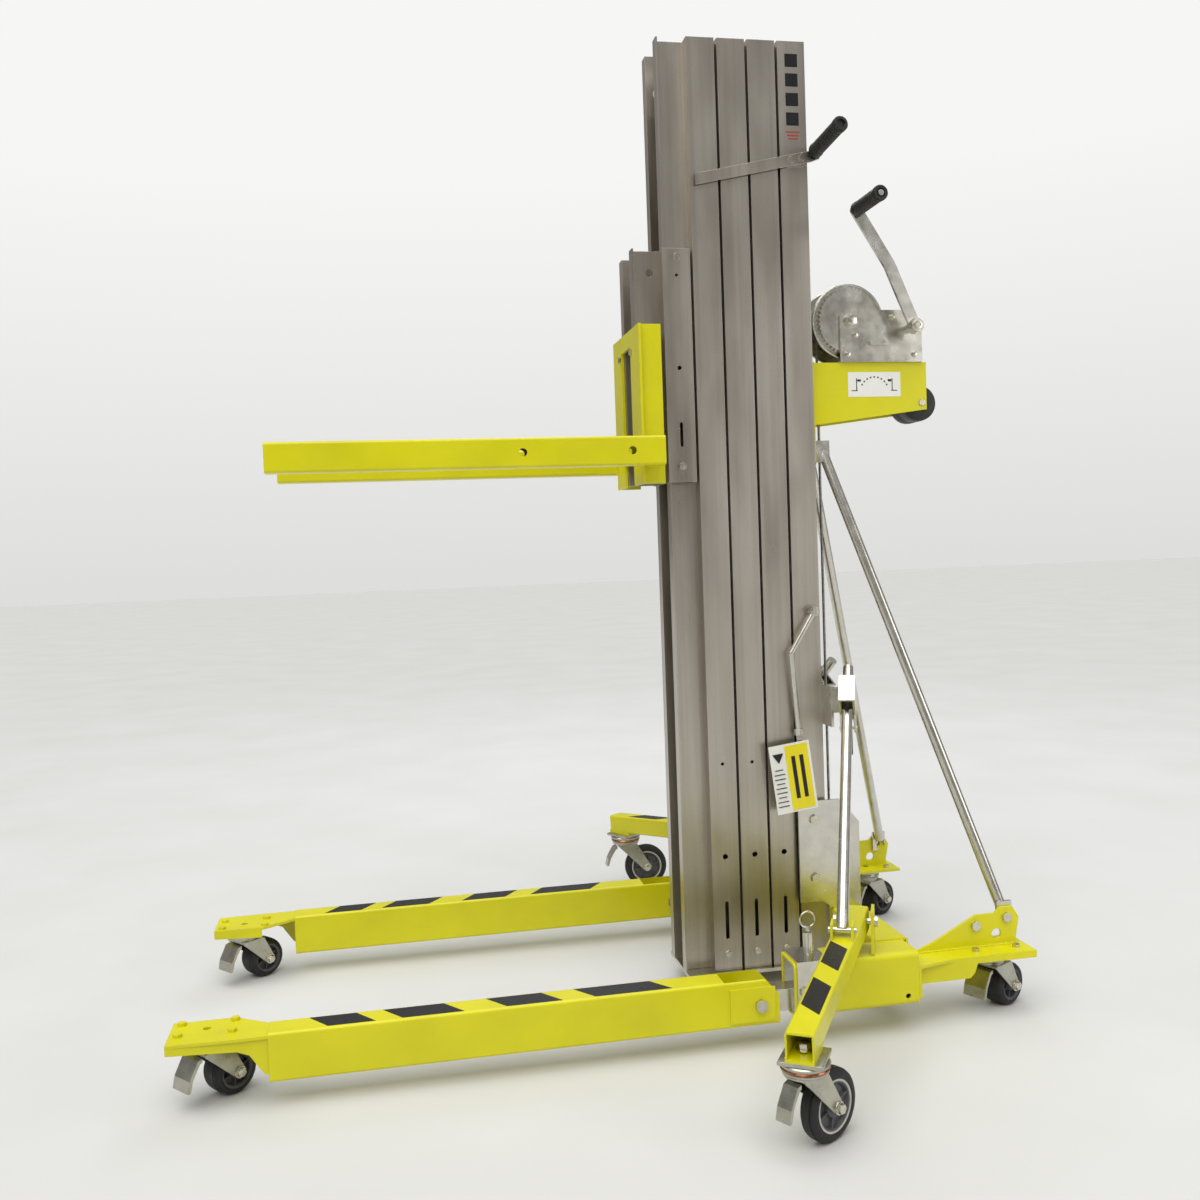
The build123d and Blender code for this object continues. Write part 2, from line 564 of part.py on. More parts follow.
def plate_bolts(kingpin, half_x, half_y, z):
    """Four hexagon heads on a caster's top plate."""
    return [hex_z(kingpin[0] + sx * half_x, kingpin[1] + sy * half_y, z, z + 5, 12.0)
            for sx in (-1, 1) for sy in (-1, 1)]


def rear_caster_plate():
    """Rear plate behind the rail with its upright gusset."""
    base = SMALL_CASTER["height"]
    outline = [(RAIL_REAR - 0.2, RAIL_INNER + 0.2), (BEAM_REAR - 1, RAIL_INNER + 0.2),
               (-420.0, 222.0), (-556.0, 222.0), (-556.0, 310.0), (-400.0, 310.0),
               (RAIL_REAR - 0.2, RAIL_OUTER)]
    edges = Polyline([point(x, y, base) for x, y in outline], close=True)
    plate = extrude(make_face(edges), PLATE, dir=(0, 0, 1))
    web = block(RAIL_REAR - 5, RAIL_REAR - 0.2, RAIL_INNER + 0.2, RAIL_OUTER, RAIL_BOTTOM + 10, base)
    top = base + PLATE
    gusset = plate_xz([(-345.0, top), (-391.0, 130.0), (-466.0, 168.0), (-503.0, 168.0),
                       (-512.0, 178.0), (-536.0, 178.0), (-548.0, 158.0), (-540.0, top)],
                      *GUSSET_Y)
    gusset -= rod_y(-505.0, 240, 290, 132.0, 9.0)
    gusset -= rod_y(-524.0, 240, 290, 160.0, 5.0)
    flange = plate_xz([(RAIL_REAR - 6, top), (RAIL_REAR - 6, 76.0), (-432.0, 76.0),
                       (-440.0, 84.0), (-446.0, 100.0), (-556.0, 100.0), (-556.0, top)],
                      305.0, 310.0)
    hole = rod_z(*REAR_KINGPIN, 90, base + PLATE, 6.0)
    return plate + web + gusset + flange - hole


def brace():
    """Round brace with flattened ends from the winch bracket to the gusset."""
    low = point(-524.0, GUSSET_Y[0] - 10, 172.0)
    high = point(-300.0, 33.0, 1000.0)
    tube = rod_between(low, high, 9.5)
    foot = block(-538.0, -510.0, GUSSET_Y[0] - 6, GUSSET_Y[0] - 0.5, 146.0, 186.0)
    foot -= rod_y(-524.0, 240, 290, 160.0, 5.0)
    foot -= rod_between(low - (high - low) * 0.1, high, 9.5)
    lug = block(-312.0, -283.2, 24.0, 44.0, 975.0, 1015.0)
    lug -= rod_between(low, high + (high - low) * 0.2, 9.6)
    return tube, foot, lug


# ---------------------------------------------------------------- casters
def caster_fork(spec, x, y):
    """Swivel fork: race, crown, two legs and the axle."""
    top = spec["height"] - 0.6
    r, w, trail = spec["wheel_r"], spec["wheel_w"], spec["trail"]
    crown = 2 * r + 5.0
    half = w / 2 + 3.0
    legs = None
    for side in (1, -1):
        y0, y1 = sorted((y + side * half, y + side * (half + 3)))
        leg = plate_xz([(x + 22, crown), (x + 22, crown + 4), (x - 24, crown + 4), (x - trail - 11, r),
                        (x - trail, r - 11), (x - trail + 11, r - 3)], y0, y1)
        legs = leg if legs is None else legs + leg
    body = legs + block(x - 24, x + 22, y - half - 3, y + half + 3, crown, crown + 4)
    body += rod_z(x, y, crown + 4, top, 0.24 * spec["height"])
    axle = rod_y(x - trail, y - half - 6, y + half + 6, r, spec["axle_r"])
    return body + axle


def caster_wheel(spec, x, y):
    """Wheel with a rounded tread, bored for its axle."""
    r, w = spec["wheel_r"], spec["wheel_w"]
    wheel = rod_y(x - spec["trail"], y - w / 2, y + w / 2, r, r)
    wheel = fillet(wheel.edges(), spec["crown"])
    return wheel - rod_y(x - spec["trail"], y - w, y + w, r, spec["axle_r"] + RUNNING)


def caster_pedal(spec, x, y):
    """Brake pedal in front of the fork: a lever plate with a turned-down tread."""
    r, w = spec["wheel_r"], spec["wheel_w"]
    crown = 2 * r + 5.0
    half = w / 2 - 1.0
    outline = [(x + 23, crown - 2), (x + 31, crown - 4), (x + 46, crown - 30), (x + 50, crown - 48),
               (x + 45, crown - 48), (x + 40, crown - 30), (x + 27, crown - 9), (x + 23, crown - 8)]
    return plate_xz(outline, y - half, y + half)


def make_caster(name, spec, x, y):
    """One caster, swivelled about its kingpin to where it rests."""
    kingpin = Axis((MAST_X + x, y, 0), (0, 0, 1))
    for piece, shape in (("fork", caster_fork(spec, x, y)), ("wheel", caster_wheel(spec, x, y)),
                         ("pedal", caster_pedal(spec, x, y))):
        write(f"caster_{piece}_{name}", shape.rotate(kingpin, CASTER_YAW[name]))


# ---------------------------------------------------------------- outriggers
HINGE = point(HINGE_X, HINGE_Y, HINGE_Z)
TIP = point(ARM_TIP_X, ARM_TIP_Y, ARM_TIP_Z)
LOCK = point(LOCK_X, LOCK_Y, LOCK_Z)
ARM_DIR = (TIP - HINGE).normalized()
EAR_BASE = HINGE + (TIP - HINGE) * EAR_SHARE
EAR = EAR_BASE + Vector(0, 0, EAR_UP)
STRUT_DIR = (LOCK - EAR).normalized()
FOLD_AXIS = Vector(-STRUT_DIR.Y, STRUT_DIR.X, 0).normalized()


def oriented(origin, along, across, length, width, height, start=0.0):
    """A bar from origin along one direction, its width along another."""
    up = along.cross(across).normalized()
    frame = Plane(origin=origin, x_dir=along, z_dir=up)
    return frame * (Pos(start + length / 2, 0, 0) * Box(length, width, height))


def arm_side():
    """Level direction square to the arm."""
    return Vector(-ARM_DIR.Y, ARM_DIR.X, 0).normalized()


def outrigger_arm():
    """Square outrigger tube with hinge hole, strut ears and caster plate."""
    across = arm_side()
    length = (TIP - HINGE).length + ARM_BEHIND
    tube = oriented(HINGE, ARM_DIR, across, length, ARM_SIZE, ARM_SIZE, -ARM_BEHIND)
    inner = ARM_SIZE - 2 * TUBE_WALL
    tube = fillet([edge for edge in tube.edges() if abs(edge.tangent_at(0).dot(ARM_DIR)) > 0.99],
                  TUBE_CORNER - 1)
    tube -= oriented(HINGE, ARM_DIR, across, length, inner, inner, -ARM_BEHIND + TUBE_WALL)
    tube -= rod_between(HINGE - FOLD_AXIS * 60, HINGE + FOLD_AXIS * 60, PIVOT_R + RUNNING)
    level = Vector(ARM_DIR.X, ARM_DIR.Y, 0).normalized()
    drop = LARGE_CASTER["height"] + 2.5
    seat = Vector(TIP.X, TIP.Y, drop) - level * 62
    plate = oriented(seat, level, across, 64.0, 60.0, 5.0)
    filler = oriented(seat + Vector(0, 0, 6), level, across, 64.0, ARM_SIZE, 8.0)
    tube = tube + plate + (filler - oriented(HINGE, ARM_DIR, across, 600, inner, inner, 0))
    ear_dir = Vector(STRUT_DIR.X, STRUT_DIR.Y, 0).normalized()
    for side in (1, -1):
        base = EAR_BASE + FOLD_AXIS * side * 16.0 + Vector(0, 0, 31)
        tube += oriented(base, ear_dir, FOLD_AXIS, 34.0, 4.0, 25.0, -17.0)
    return tube - rod_between(EAR - FOLD_AXIS * 40, EAR + FOLD_AXIS * 40, 5.0)


def outrigger_post():
    """Two upright plates on the rail that hold the arm's hinge bolt."""
    level = Vector(STRUT_DIR.X, STRUT_DIR.Y, 0).normalized()
    reach = FOLD_AXIS * 60
    hole = rod_between(HINGE - reach, HINGE + reach, PIVOT_R + RUNNING)
    height = HINGE_Z + 22.0 - RAIL_TOP
    plates = []
    for side in (1, -1):
        middle = Vector(HINGE.X, HINGE.Y, RAIL_TOP + height / 2) + FOLD_AXIS * side * 28.0
        upright = oriented(middle, level, FOLD_AXIS, 46.0, 5.0, height, -23.0)
        plates.append(upright - hole)
    return plates


def hinge_bolt():
    """Outrigger hinge bolt with its head and nut."""
    bolt = rod_between(HINGE - FOLD_AXIS * 36, HINGE + FOLD_AXIS * 36, PIVOT_R)
    for side in (1, -1):
        start = HINGE + FOLD_AXIS * side * 30.6
        bolt += rod_between(start, start + FOLD_AXIS * side * 6, 9.5)
    return bolt


def strut():
    """Round stabiliser strut with its pin through the arm's ears."""
    bar = rod_between(EAR, EAR + STRUT_DIR * STRUT_LENGTH, STRUT_R)
    return bar + rod_between(EAR - FOLD_AXIS * 22, EAR + FOLD_AXIS * 22, 4.95)


LOCK_INNER = 54.0
LOCK_SLOT = 21.0
LOCK_NORMAL = STRUT_DIR.cross(FOLD_AXIS).normalized()
LEVER_PIN = LOCK - STRUT_DIR * 34 - LOCK_NORMAL * 34 - Vector(0, 0, 8)


def lock_housing(set_back):
    """Open box that the strut slides through, with its stand-off and lever lugs."""
    start = LOCK - STRUT_DIR * 28
    outer = oriented(start, STRUT_DIR, FOLD_AXIS, 56.0, LOCK_SLOT + 8, LOCK_INNER + 8)
    opening = oriented(LOCK - STRUT_DIR * 110, STRUT_DIR, FOLD_AXIS, 220.0, LOCK_SLOT, LOCK_INNER)
    shape = outer + block(-306.0, -281.9 + set_back, 78.0, 104.0, 512.0, 556.0)
    lug_start = LOCK - STRUT_DIR * 22 - LOCK_NORMAL * 20
    along = (LEVER_PIN - lug_start).normalized()
    length = (LEVER_PIN - lug_start).length + 7
    for side in (1, -1):
        shape += oriented(lug_start + FOLD_AXIS * side * 12.5, along, FOLD_AXIS, length, 4.0, 15.0)
    shape -= opening
    shape -= rod_between(LEVER_PIN - FOLD_AXIS * 20, LEVER_PIN + FOLD_AXIS * 20, 3.0)
    return shape


def lock_cross_plate():
    """Cross plate behind the mast that carries both lock housings."""
    mast_back = -3 * SECTION_PITCH - NECK_DEPTH - TRACK_DEPTH
    return block(mast_back - 4.9, mast_back, -104.0, 104.0, 486.0, 560.0)


def lever_pin():
    return rod_between(LEVER_PIN - FOLD_AXIS * 16, LEVER_PIN + FOLD_AXIS * 16, 3.0)


def release_lever():
    """Short black lever that hangs from its pin below the lock housing."""
    start = LEVER_PIN + Vector(0, 0, 7)
    bar = oriented(start, Vector(0, 0, -1), FOLD_AXIS, 56.0, 14.0, 7.0)
    return bar - rod_between(LEVER_PIN - FOLD_AXIS * 20, LEVER_PIN + FOLD_AXIS * 20, 3.0 + RUNNING)


def right_side(shape):
    """The right outrigger's copy of a left piece, a little further back."""
    return Pos(-RIGHT_SET_BACK, 0, 0) * mirrored(shape)


def make_outriggers():
    write("outrigger_left", outrigger_arm())
    write("outrigger_right", right_side(outrigger_arm()))
    write("strut_left", strut())
    write("strut_right", right_side(strut()))
    right_housing = right_side(lock_housing(RIGHT_SET_BACK))
    write("strut_lock", lock_housing(0.0), right_housing, lock_cross_plate())
    write("release_lever_left", release_lever())
    write("release_lever_right", right_side(release_lever()))


# ---------------------------------------------------------------- small fittings
def hold_down_pin():
    """Shouldered pin on section 4 that the hold-down rod hangs from."""
    x, z = HOLD_PIVOT
    pin = rod_y(x, TRACK_HALF, 86.0, z, 4.0) + rod_y(x, TRACK_HALF, 68.0, z, 8.0)
    return pin + rod_y(x, 82.5, 86.0, z, 7.0)


def make_hold_down():
    """Bent rod with an eye, collar and tab that holds the mast sections down."""
    x, z = HOLD_PIVOT
    y = 76.0
    eye = rod_y(x, 69.0, 82.0, z, 9.0)
    bend, low = point(-213.0, y, 623.0), point(-223.0, y, 483.0)
    rod = eye + rod_between(point(x, y, z), bend, ROD_R) + rod_between(bend, low, ROD_R)
    rod += Pos(bend) * Sphere(ROD_R)
    rod += rod_between(low, low + Vector(-0.5, 0, -12), 8.0)
    rod += block(-228.0, -219.0, y - 2, y + 2, 440.0, 474.0)
    write("hold_down_rod", rod - rod_y(x, 60.0, 90.0, z, 4.0 + RUNNING))


def make_upper_handle():
    """Flat-bar handle across the top of the mast with a turned-out grip."""
    front, rear = (-62.0, 1484.0), (-282.0, 1530.0)
    rise = 10.0
    outline = [(front[0], front[1] - rise), (front[0], front[1] + rise),
               (rear[0], rear[1] + rise), (rear[0] - 16, rear[1] + rise + 8),
               (rear[0] - 16, rear[1] - 4), (rear[0], rear[1] - rise)]
    bar = plate_xz(outline, 64.5, 68.5)
    boss = block(-270.0, -236.0, TRACK_HALF, 64.5, 1512.0, 1532.0)
    heads = [hex_y(x, 68.5, 73.0, z, 12.0) for x, z in ((-264.0, 1526.5), (-242.0, 1521.5))]
    start, end = point(-288.0, 68.5, 1537.0), point(-298.0, 172.0, 1553.0)
    along = (end - start).normalized()
    pin = rod_between(start, start + along * 100, 5.0)
    write("upper_handle", bar + boss + pin, *heads)
    grip = rod_between(start + along * 3, end, 14.0) - rod_between(start, end + along * 3, 5.0)
    cap = rod_between(start + along * 101, end, 14.0)
    write("upper_grip", grip + cap)


def make_fasteners():
    """Bolt heads and nuts on the fixed base, resting on the faces they clamp."""
    heads = []
    mast_back = -3 * SECTION_PITCH - NECK_DEPTH - TRACK_DEPTH
    for x, z in ((-308.0, 195.0), (-250.0, 310.0), (-250.0, 200.0)):
        heads += both(hex_y(x, 74.0, 80.0, z, 17.0))
    for x, z in ((-465.0, 150.0), (-524.0, 160.0)):
        heads += both(hex_y(x, GUSSET_Y[1], GUSSET_Y[1] + 6, z, 15.0))
    for x in (-128.0, -160.0):
        heads += both(hex_y(x, RAIL_OUTER + 3.5, RAIL_OUTER + 9, 92.0, 15.0))
    for z in (988.0, 1030.0):
        heads += [hex_x(mast_back - 12.0, mast_back - 6.0, y, z, 13.0) for y in (-14.0, 14.0)]
    for bolt in plate_bolts(REAR_KINGPIN, 38.0, 22.0, SMALL_CASTER["height"] + PLATE):
        heads += both(bolt)
    write("base_bolts", *heads)


def make_side(name, side):
    """Front leg, its lock and its caster on one side."""
    place = (lambda shape: shape) if side > 0 else mirrored
    tube, doubler = leg_tube()
    base = SMALL_CASTER["height"] + PLATE
    bolts = plate_bolts(FRONT_KINGPIN, 40.0, 22.0, base)
    write(f"front_leg_{name}", place(tube), place(doubler), place(front_caster_plate()),
          *[place(bolt) for bolt in bolts])
    write(f"leg_plunger_{name}", place(plunger_parts()[1]))
    make_caster(f"front_{name}", SMALL_CASTER, FRONT_KINGPIN[0], side * FRONT_KINGPIN[1])
    make_caster(f"rear_{name}", SMALL_CASTER, REAR_KINGPIN[0], side * REAR_KINGPIN[1])
    level = Vector(ARM_DIR.X, ARM_DIR.Y, 0).normalized()
    king = TIP - level * 30
    back = 0.0 if side > 0 else RIGHT_SET_BACK
    make_caster(f"outrigger_{name}", LARGE_CASTER, king.X - MAST_X - back, side * king.Y)


def main():
    os.makedirs("parts", exist_ok=True)
    make_mast()
    make_carriage()
    make_forks()
    make_winch()
    make_cable_route()
    make_base()
    posts = outrigger_post()
    write("side_rails", *both(side_rail()), *posts, *[right_side(post) for post in posts])
    tongue, saddle = leg_bracket()
    barrel = plunger_parts()[0]
    write("leg_brackets", *both(tongue), *both(saddle), *both(barrel))
    write("hinge_bolts", *both(leg_pin()), hinge_bolt(), right_side(hinge_bolt()), lever_pin(),
          right_side(lever_pin()), hold_down_pin())
    write("rear_caster_plates", *both(rear_caster_plate()))
    tube, foot, lug = brace()
    write("rear_braces", *both(tube), *both(foot), *both(lug))
    for name, side in (("left", 1), ("right", -1)):
        make_side(name, side)
    make_outriggers()
    make_hold_down()
    make_upper_handle()
    make_fasteners()


main()
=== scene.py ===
"""Finishes and detail pieces of a drywall lift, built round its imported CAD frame.

The lift stands on a plain pale floor in soft studio light. Every length is in metres, in the
frame of the CAD model: X the way the forks point, Y to the crank side, Z up.
"""

import json
import logging
import math
from dataclasses import dataclass
from enum import Enum
from typing import Any, Iterable, Sequence

import bmesh
import bpy
from bpy.types import Material, Mesh, Node, NodeSocket, NodeTree, Object
from mathutils import Matrix, Vector


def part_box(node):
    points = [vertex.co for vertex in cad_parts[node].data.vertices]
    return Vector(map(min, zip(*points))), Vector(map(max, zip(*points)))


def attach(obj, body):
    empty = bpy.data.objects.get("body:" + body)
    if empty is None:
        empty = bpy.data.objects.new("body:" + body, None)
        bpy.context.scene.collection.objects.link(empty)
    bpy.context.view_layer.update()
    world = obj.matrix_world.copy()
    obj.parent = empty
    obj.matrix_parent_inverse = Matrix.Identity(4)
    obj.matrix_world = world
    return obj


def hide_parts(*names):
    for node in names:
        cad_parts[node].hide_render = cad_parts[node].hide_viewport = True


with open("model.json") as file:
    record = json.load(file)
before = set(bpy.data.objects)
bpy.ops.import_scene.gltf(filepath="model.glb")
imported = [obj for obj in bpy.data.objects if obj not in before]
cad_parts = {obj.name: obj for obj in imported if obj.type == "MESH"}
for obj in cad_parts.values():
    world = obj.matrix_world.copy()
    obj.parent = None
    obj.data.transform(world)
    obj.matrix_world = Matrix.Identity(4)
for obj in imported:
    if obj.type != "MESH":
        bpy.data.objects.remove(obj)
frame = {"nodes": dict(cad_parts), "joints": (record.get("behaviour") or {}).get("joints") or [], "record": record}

LOG = logging.getLogger("drywall_lift")
MM = 0.001
TURN_STEPS = 64
DISC_STEPS = 40
HEAD_LET_IN = 0.2 * MM
SIDES = {"left": 1, "right": -1}
SHARP = math.radians(32)
FULL_TURN = 2 * math.pi
MERGE = 1e-6


class Turn(Enum):
    """The axis that a turned piece is spun about, as a unit direction."""

    ACROSS = (0.0, 1.0, 0.0)
    UPRIGHT = (0.0, 0.0, 1.0)


# ------------------------------------------------------------------ nodes and colours
def linear(code: str) -> tuple[float, float, float, float]:
    """Turn an sRGB hex colour to a linear one.

    Args:
        code: Six hex digits after a hash sign.

    Returns:
        Linear red, green and blue, with full alpha.
    """
    parts = [int(code[i:i + 2], 16) / 255 for i in (1, 3, 5)]
    scaled = [p / 12.92 if p <= 0.04045 else ((p + 0.055) / 1.055) ** 2.4 for p in parts]
    return scaled[0], scaled[1], scaled[2], 1.0


def per_mm(size: float) -> float:
    """Return the pattern scale whose features are that many millimetres across."""
    return 1000.0 / size


def add_node(tree: NodeTree, kind: str, settings: dict[str, Any] | None = None,
             inputs: dict[str | int, Any] | None = None) -> Node:
    """Add one node with its settings and links.

    Args:
        tree: The tree that gets the node.
        kind: Blender's name of the node type.
        settings: Properties of the node by name.
        inputs: Values by input name or number; a socket is linked, anything else is set.

    Returns:
        The new node.
    """
    node = tree.nodes.new(kind)
    for name, value in (settings or {}).items():
        setattr(node, name, value)
    for key, value in (inputs or {}).items():
        if isinstance(value, NodeSocket):
            tree.links.new(value, node.inputs[key])
        else:
            node.inputs[key].default_value = value
    return node


# ------------------------------------------------------------------ finishes
@dataclass(frozen=True)
class Finish:
    """What all finishes share: a name, a material slot and one shader."""

    name: str
    slot: str

    def material(self) -> Material:
        """Return the finish's material, drawn once and found by name after that."""
        known = bpy.data.materials.get(self.name)
        if known is not None:
            return known
        made = bpy.data.materials.new(self.name)
        made.use_nodes = True
        tree = made.node_tree
        tree.nodes.clear()
        add_node(tree, "ShaderNodeOutputMaterial", inputs={
            "Surface": self.shader(tree).outputs["BSDF"]})
        return made

    def shader(self, tree: NodeTree) -> Node:
        """Draw the finish and return its Principled shader.

        Args:
            tree: The material's tree.

        Returns:
            The Principled shader node.
        """
        raise NotImplementedError


@dataclass(frozen=True)
class ExtrudedAluminium(Finish):
    """Mill-finish aluminium extrusion: warm grey, with die lines that run up the mast and
    blotches that blur its reflections, so it reads as raw drawn metal and not as paint.

    Real die lines are a few hundredths of a millimetre apart, too fine to show, so they are
    drawn coarser here.
    """

    light: str = "#C9C3B8"
    dark: str = "#B4ACA1"
    smeared: str = "#968D82"
    flecks: str = "#A59C92"
    die_line_mm: float = 1.6
    smear_mm: float = 11.0
    blotch_mm: float = 70.0
    grain_mm: float = 2.2
    lengthwise: float = 1.5

    def shader(self, tree: NodeTree) -> Node:
        """Draw vertical die lines, long smears and handling marks.

        Args:
            tree: The material's tree.

        Returns:
            The Principled shader node.
        """
        where = add_node(tree, "ShaderNodeTexCoord")
        die = add_node(tree, "ShaderNodeMapping", inputs={
            "Vector": where.outputs["Object"],
            "Scale": (per_mm(self.die_line_mm), per_mm(self.die_line_mm), self.lengthwise)})
        lines = add_node(tree, "ShaderNodeTexNoise", inputs={
            "Vector": die.outputs["Vector"], "Scale": 1.0, "Detail": 2.0})
        long = add_node(tree, "ShaderNodeMapping", inputs={
            "Vector": where.outputs["Object"],
            "Scale": (per_mm(self.smear_mm), per_mm(self.smear_mm), self.lengthwise)})
        smears = add_node(tree, "ShaderNodeTexNoise", inputs={
            "Vector": long.outputs["Vector"], "Scale": 1.0, "Detail": 2.0})
        tall = add_node(tree, "ShaderNodeMapping", inputs={
            "Vector": where.outputs["Object"],
            "Scale": (per_mm(self.blotch_mm), per_mm(self.blotch_mm), self.lengthwise * 2)})
        blotches = add_node(tree, "ShaderNodeTexNoise", inputs={
            "Vector": tall.outputs["Vector"], "Scale": 1.0, "Detail": 5.0})
        grain = add_node(tree, "ShaderNodeTexNoise", inputs={
            "Vector": where.outputs["Object"], "Scale": per_mm(self.grain_mm), "Detail": 4.0})
        cloud = add_node(tree, "ShaderNodeMapRange", inputs={
            "Value": blotches.outputs["Fac"], "From Min": 0.3, "From Max": 0.7})
        smear = add_node(tree, "ShaderNodeMapRange", inputs={
            "Value": smears.outputs["Fac"], "From Min": 0.4, "From Max": 0.8, "To Max": 0.4})
        fleck = add_node(tree, "ShaderNodeMapRange", inputs={
            "Value": grain.outputs["Fac"], "From Min": 0.55, "From Max": 0.75, "To Max": 0.35})
        body = add_node(tree, "ShaderNodeMix", {"data_type": "RGBA"}, {
            0: cloud.outputs["Result"], 6: linear(self.dark), 7: linear(self.light)})
        streaked = add_node(tree, "ShaderNodeMix", {"data_type": "RGBA"}, {
            0: smear.outputs["Result"], 6: body.outputs[2], 7: linear(self.smeared)})
        flecked = add_node(tree, "ShaderNodeMix", {"data_type": "RGBA"}, {
            0: fleck.outputs["Result"], 6: streaked.outputs[2], 7: linear(self.flecks)})
        rough = add_node(tree, "ShaderNodeMapRange", inputs={
            "Value": blotches.outputs["Fac"], "From Min": 0.3, "From Max": 0.7,
            "To Min": 0.27, "To Max": 0.38})
        edge = add_node(tree, "ShaderNodeBevel", {"samples": 4}, {"Radius": 0.8 * MM})
        relief = add_node(tree, "ShaderNodeBump", inputs={
            "Height": lines.outputs["Fac"], "Distance": 0.06 * MM,
            "Normal": edge.outputs["Normal"]})
        return add_node(tree, "ShaderNodeBsdfPrincipled", inputs={
            "Base Color": flecked.outputs[2], "Metallic": 1.0,
            "Roughness": rough.outputs["Result"], "Normal": relief.outputs["Normal"],
            "Anisotropic": 0.35})


@dataclass(frozen=True)
class PowderCoat(Finish):
    """Sprayed and baked polyester powder on steel: an even lemon colour under a soft gloss
    whose orange-peel ripple breaks up highlights, with dust and light scuffs.

    Real peel is about a millimetre across, too fine to show, so it is drawn coarser here.
    """

    colour: str = "#DAD400"
    shade: str = "#CEC800"
    dust: str = "#B8AE50"
    peel_mm: float = 2.4
    coat_mm: float = 120.0
    scratch_mm: float = 1.2
    scratch_gap_mm: float = 60.0
    scuff_mm: float = 70.0

    def shader(self, tree: NodeTree) -> Node:
        """Draw the peel, a slow change of thickness and thin scuffs.

        Args:
            tree: The material's tree.

        Returns:
            The Principled shader node.
        """
        where = add_node(tree, "ShaderNodeTexCoord")
        peel = add_node(tree, "ShaderNodeTexNoise", inputs={
            "Vector": where.outputs["Object"], "Scale": per_mm(self.peel_mm), "Detail": 2.0})
        coat = add_node(tree, "ShaderNodeTexNoise", inputs={
            "Vector": where.outputs["Object"], "Scale": per_mm(self.coat_mm), "Detail": 3.0})
        drag = add_node(tree, "ShaderNodeMapping", inputs={
            "Vector": where.outputs["Object"],
            "Scale": (per_mm(self.scratch_gap_mm), per_mm(self.scratch_gap_mm),
                      per_mm(self.scratch_mm))})
        scratch = add_node(tree, "ShaderNodeTexNoise", inputs={
            "Vector": drag.outputs["Vector"], "Scale": 1.0, "Detail": 4.0})
        patch = add_node(tree, "ShaderNodeTexNoise", inputs={
            "Vector": where.outputs["Object"], "Scale": per_mm(self.scuff_mm), "Detail": 5.0,
            "Roughness": 0.7})
        thick = add_node(tree, "ShaderNodeMapRange", inputs={
            "Value": coat.outputs["Fac"], "From Min": 0.3, "From Max": 0.7})
        thin_marks = add_node(tree, "ShaderNodeMapRange", inputs={
            "Value": scratch.outputs["Fac"], "From Min": 0.62, "From Max": 0.70})
        worn_areas = add_node(tree, "ShaderNodeMapRange", inputs={
            "Value": patch.outputs["Fac"], "From Min": 0.52, "From Max": 0.66, "To Max": 0.5})
        marks = add_node(tree, "ShaderNodeMath", {"operation": "MULTIPLY"}, {
            0: thin_marks.outputs["Result"], 1: worn_areas.outputs["Result"]})
        even = add_node(tree, "ShaderNodeMix", {"data_type": "RGBA"}, {
            0: thick.outputs["Result"], 6: linear(self.shade), 7: linear(self.colour)})
        dirty = add_node(tree, "ShaderNodeMix", {"data_type": "RGBA"}, {
            0: marks.outputs["Value"], 6: even.outputs[2], 7: linear(self.dust)})
        rough = add_node(tree, "ShaderNodeMapRange", inputs={
            "Value": patch.outputs["Fac"], "From Min": 0.35, "From Max": 0.7,
            "To Min": 0.28, "To Max": 0.44})
        edge = add_node(tree, "ShaderNodeBevel", {"samples": 4}, {"Radius": 1.2 * MM})
        relief = add_node(tree, "ShaderNodeBump", inputs={
            "Height": peel.outputs["Fac"], "Distance": 0.05 * MM,
            "Normal": edge.outputs["Normal"]})
        return add_node(tree, "ShaderNodeBsdfPrincipled", inputs={
            "Base Color": dirty.outputs[2], "Roughness": rough.outputs["Result"],
            "Normal": relief.outputs["Normal"], "IOR": 1.45, "Coat Weight": 0.15,
            "Coat Roughness": 0.15})


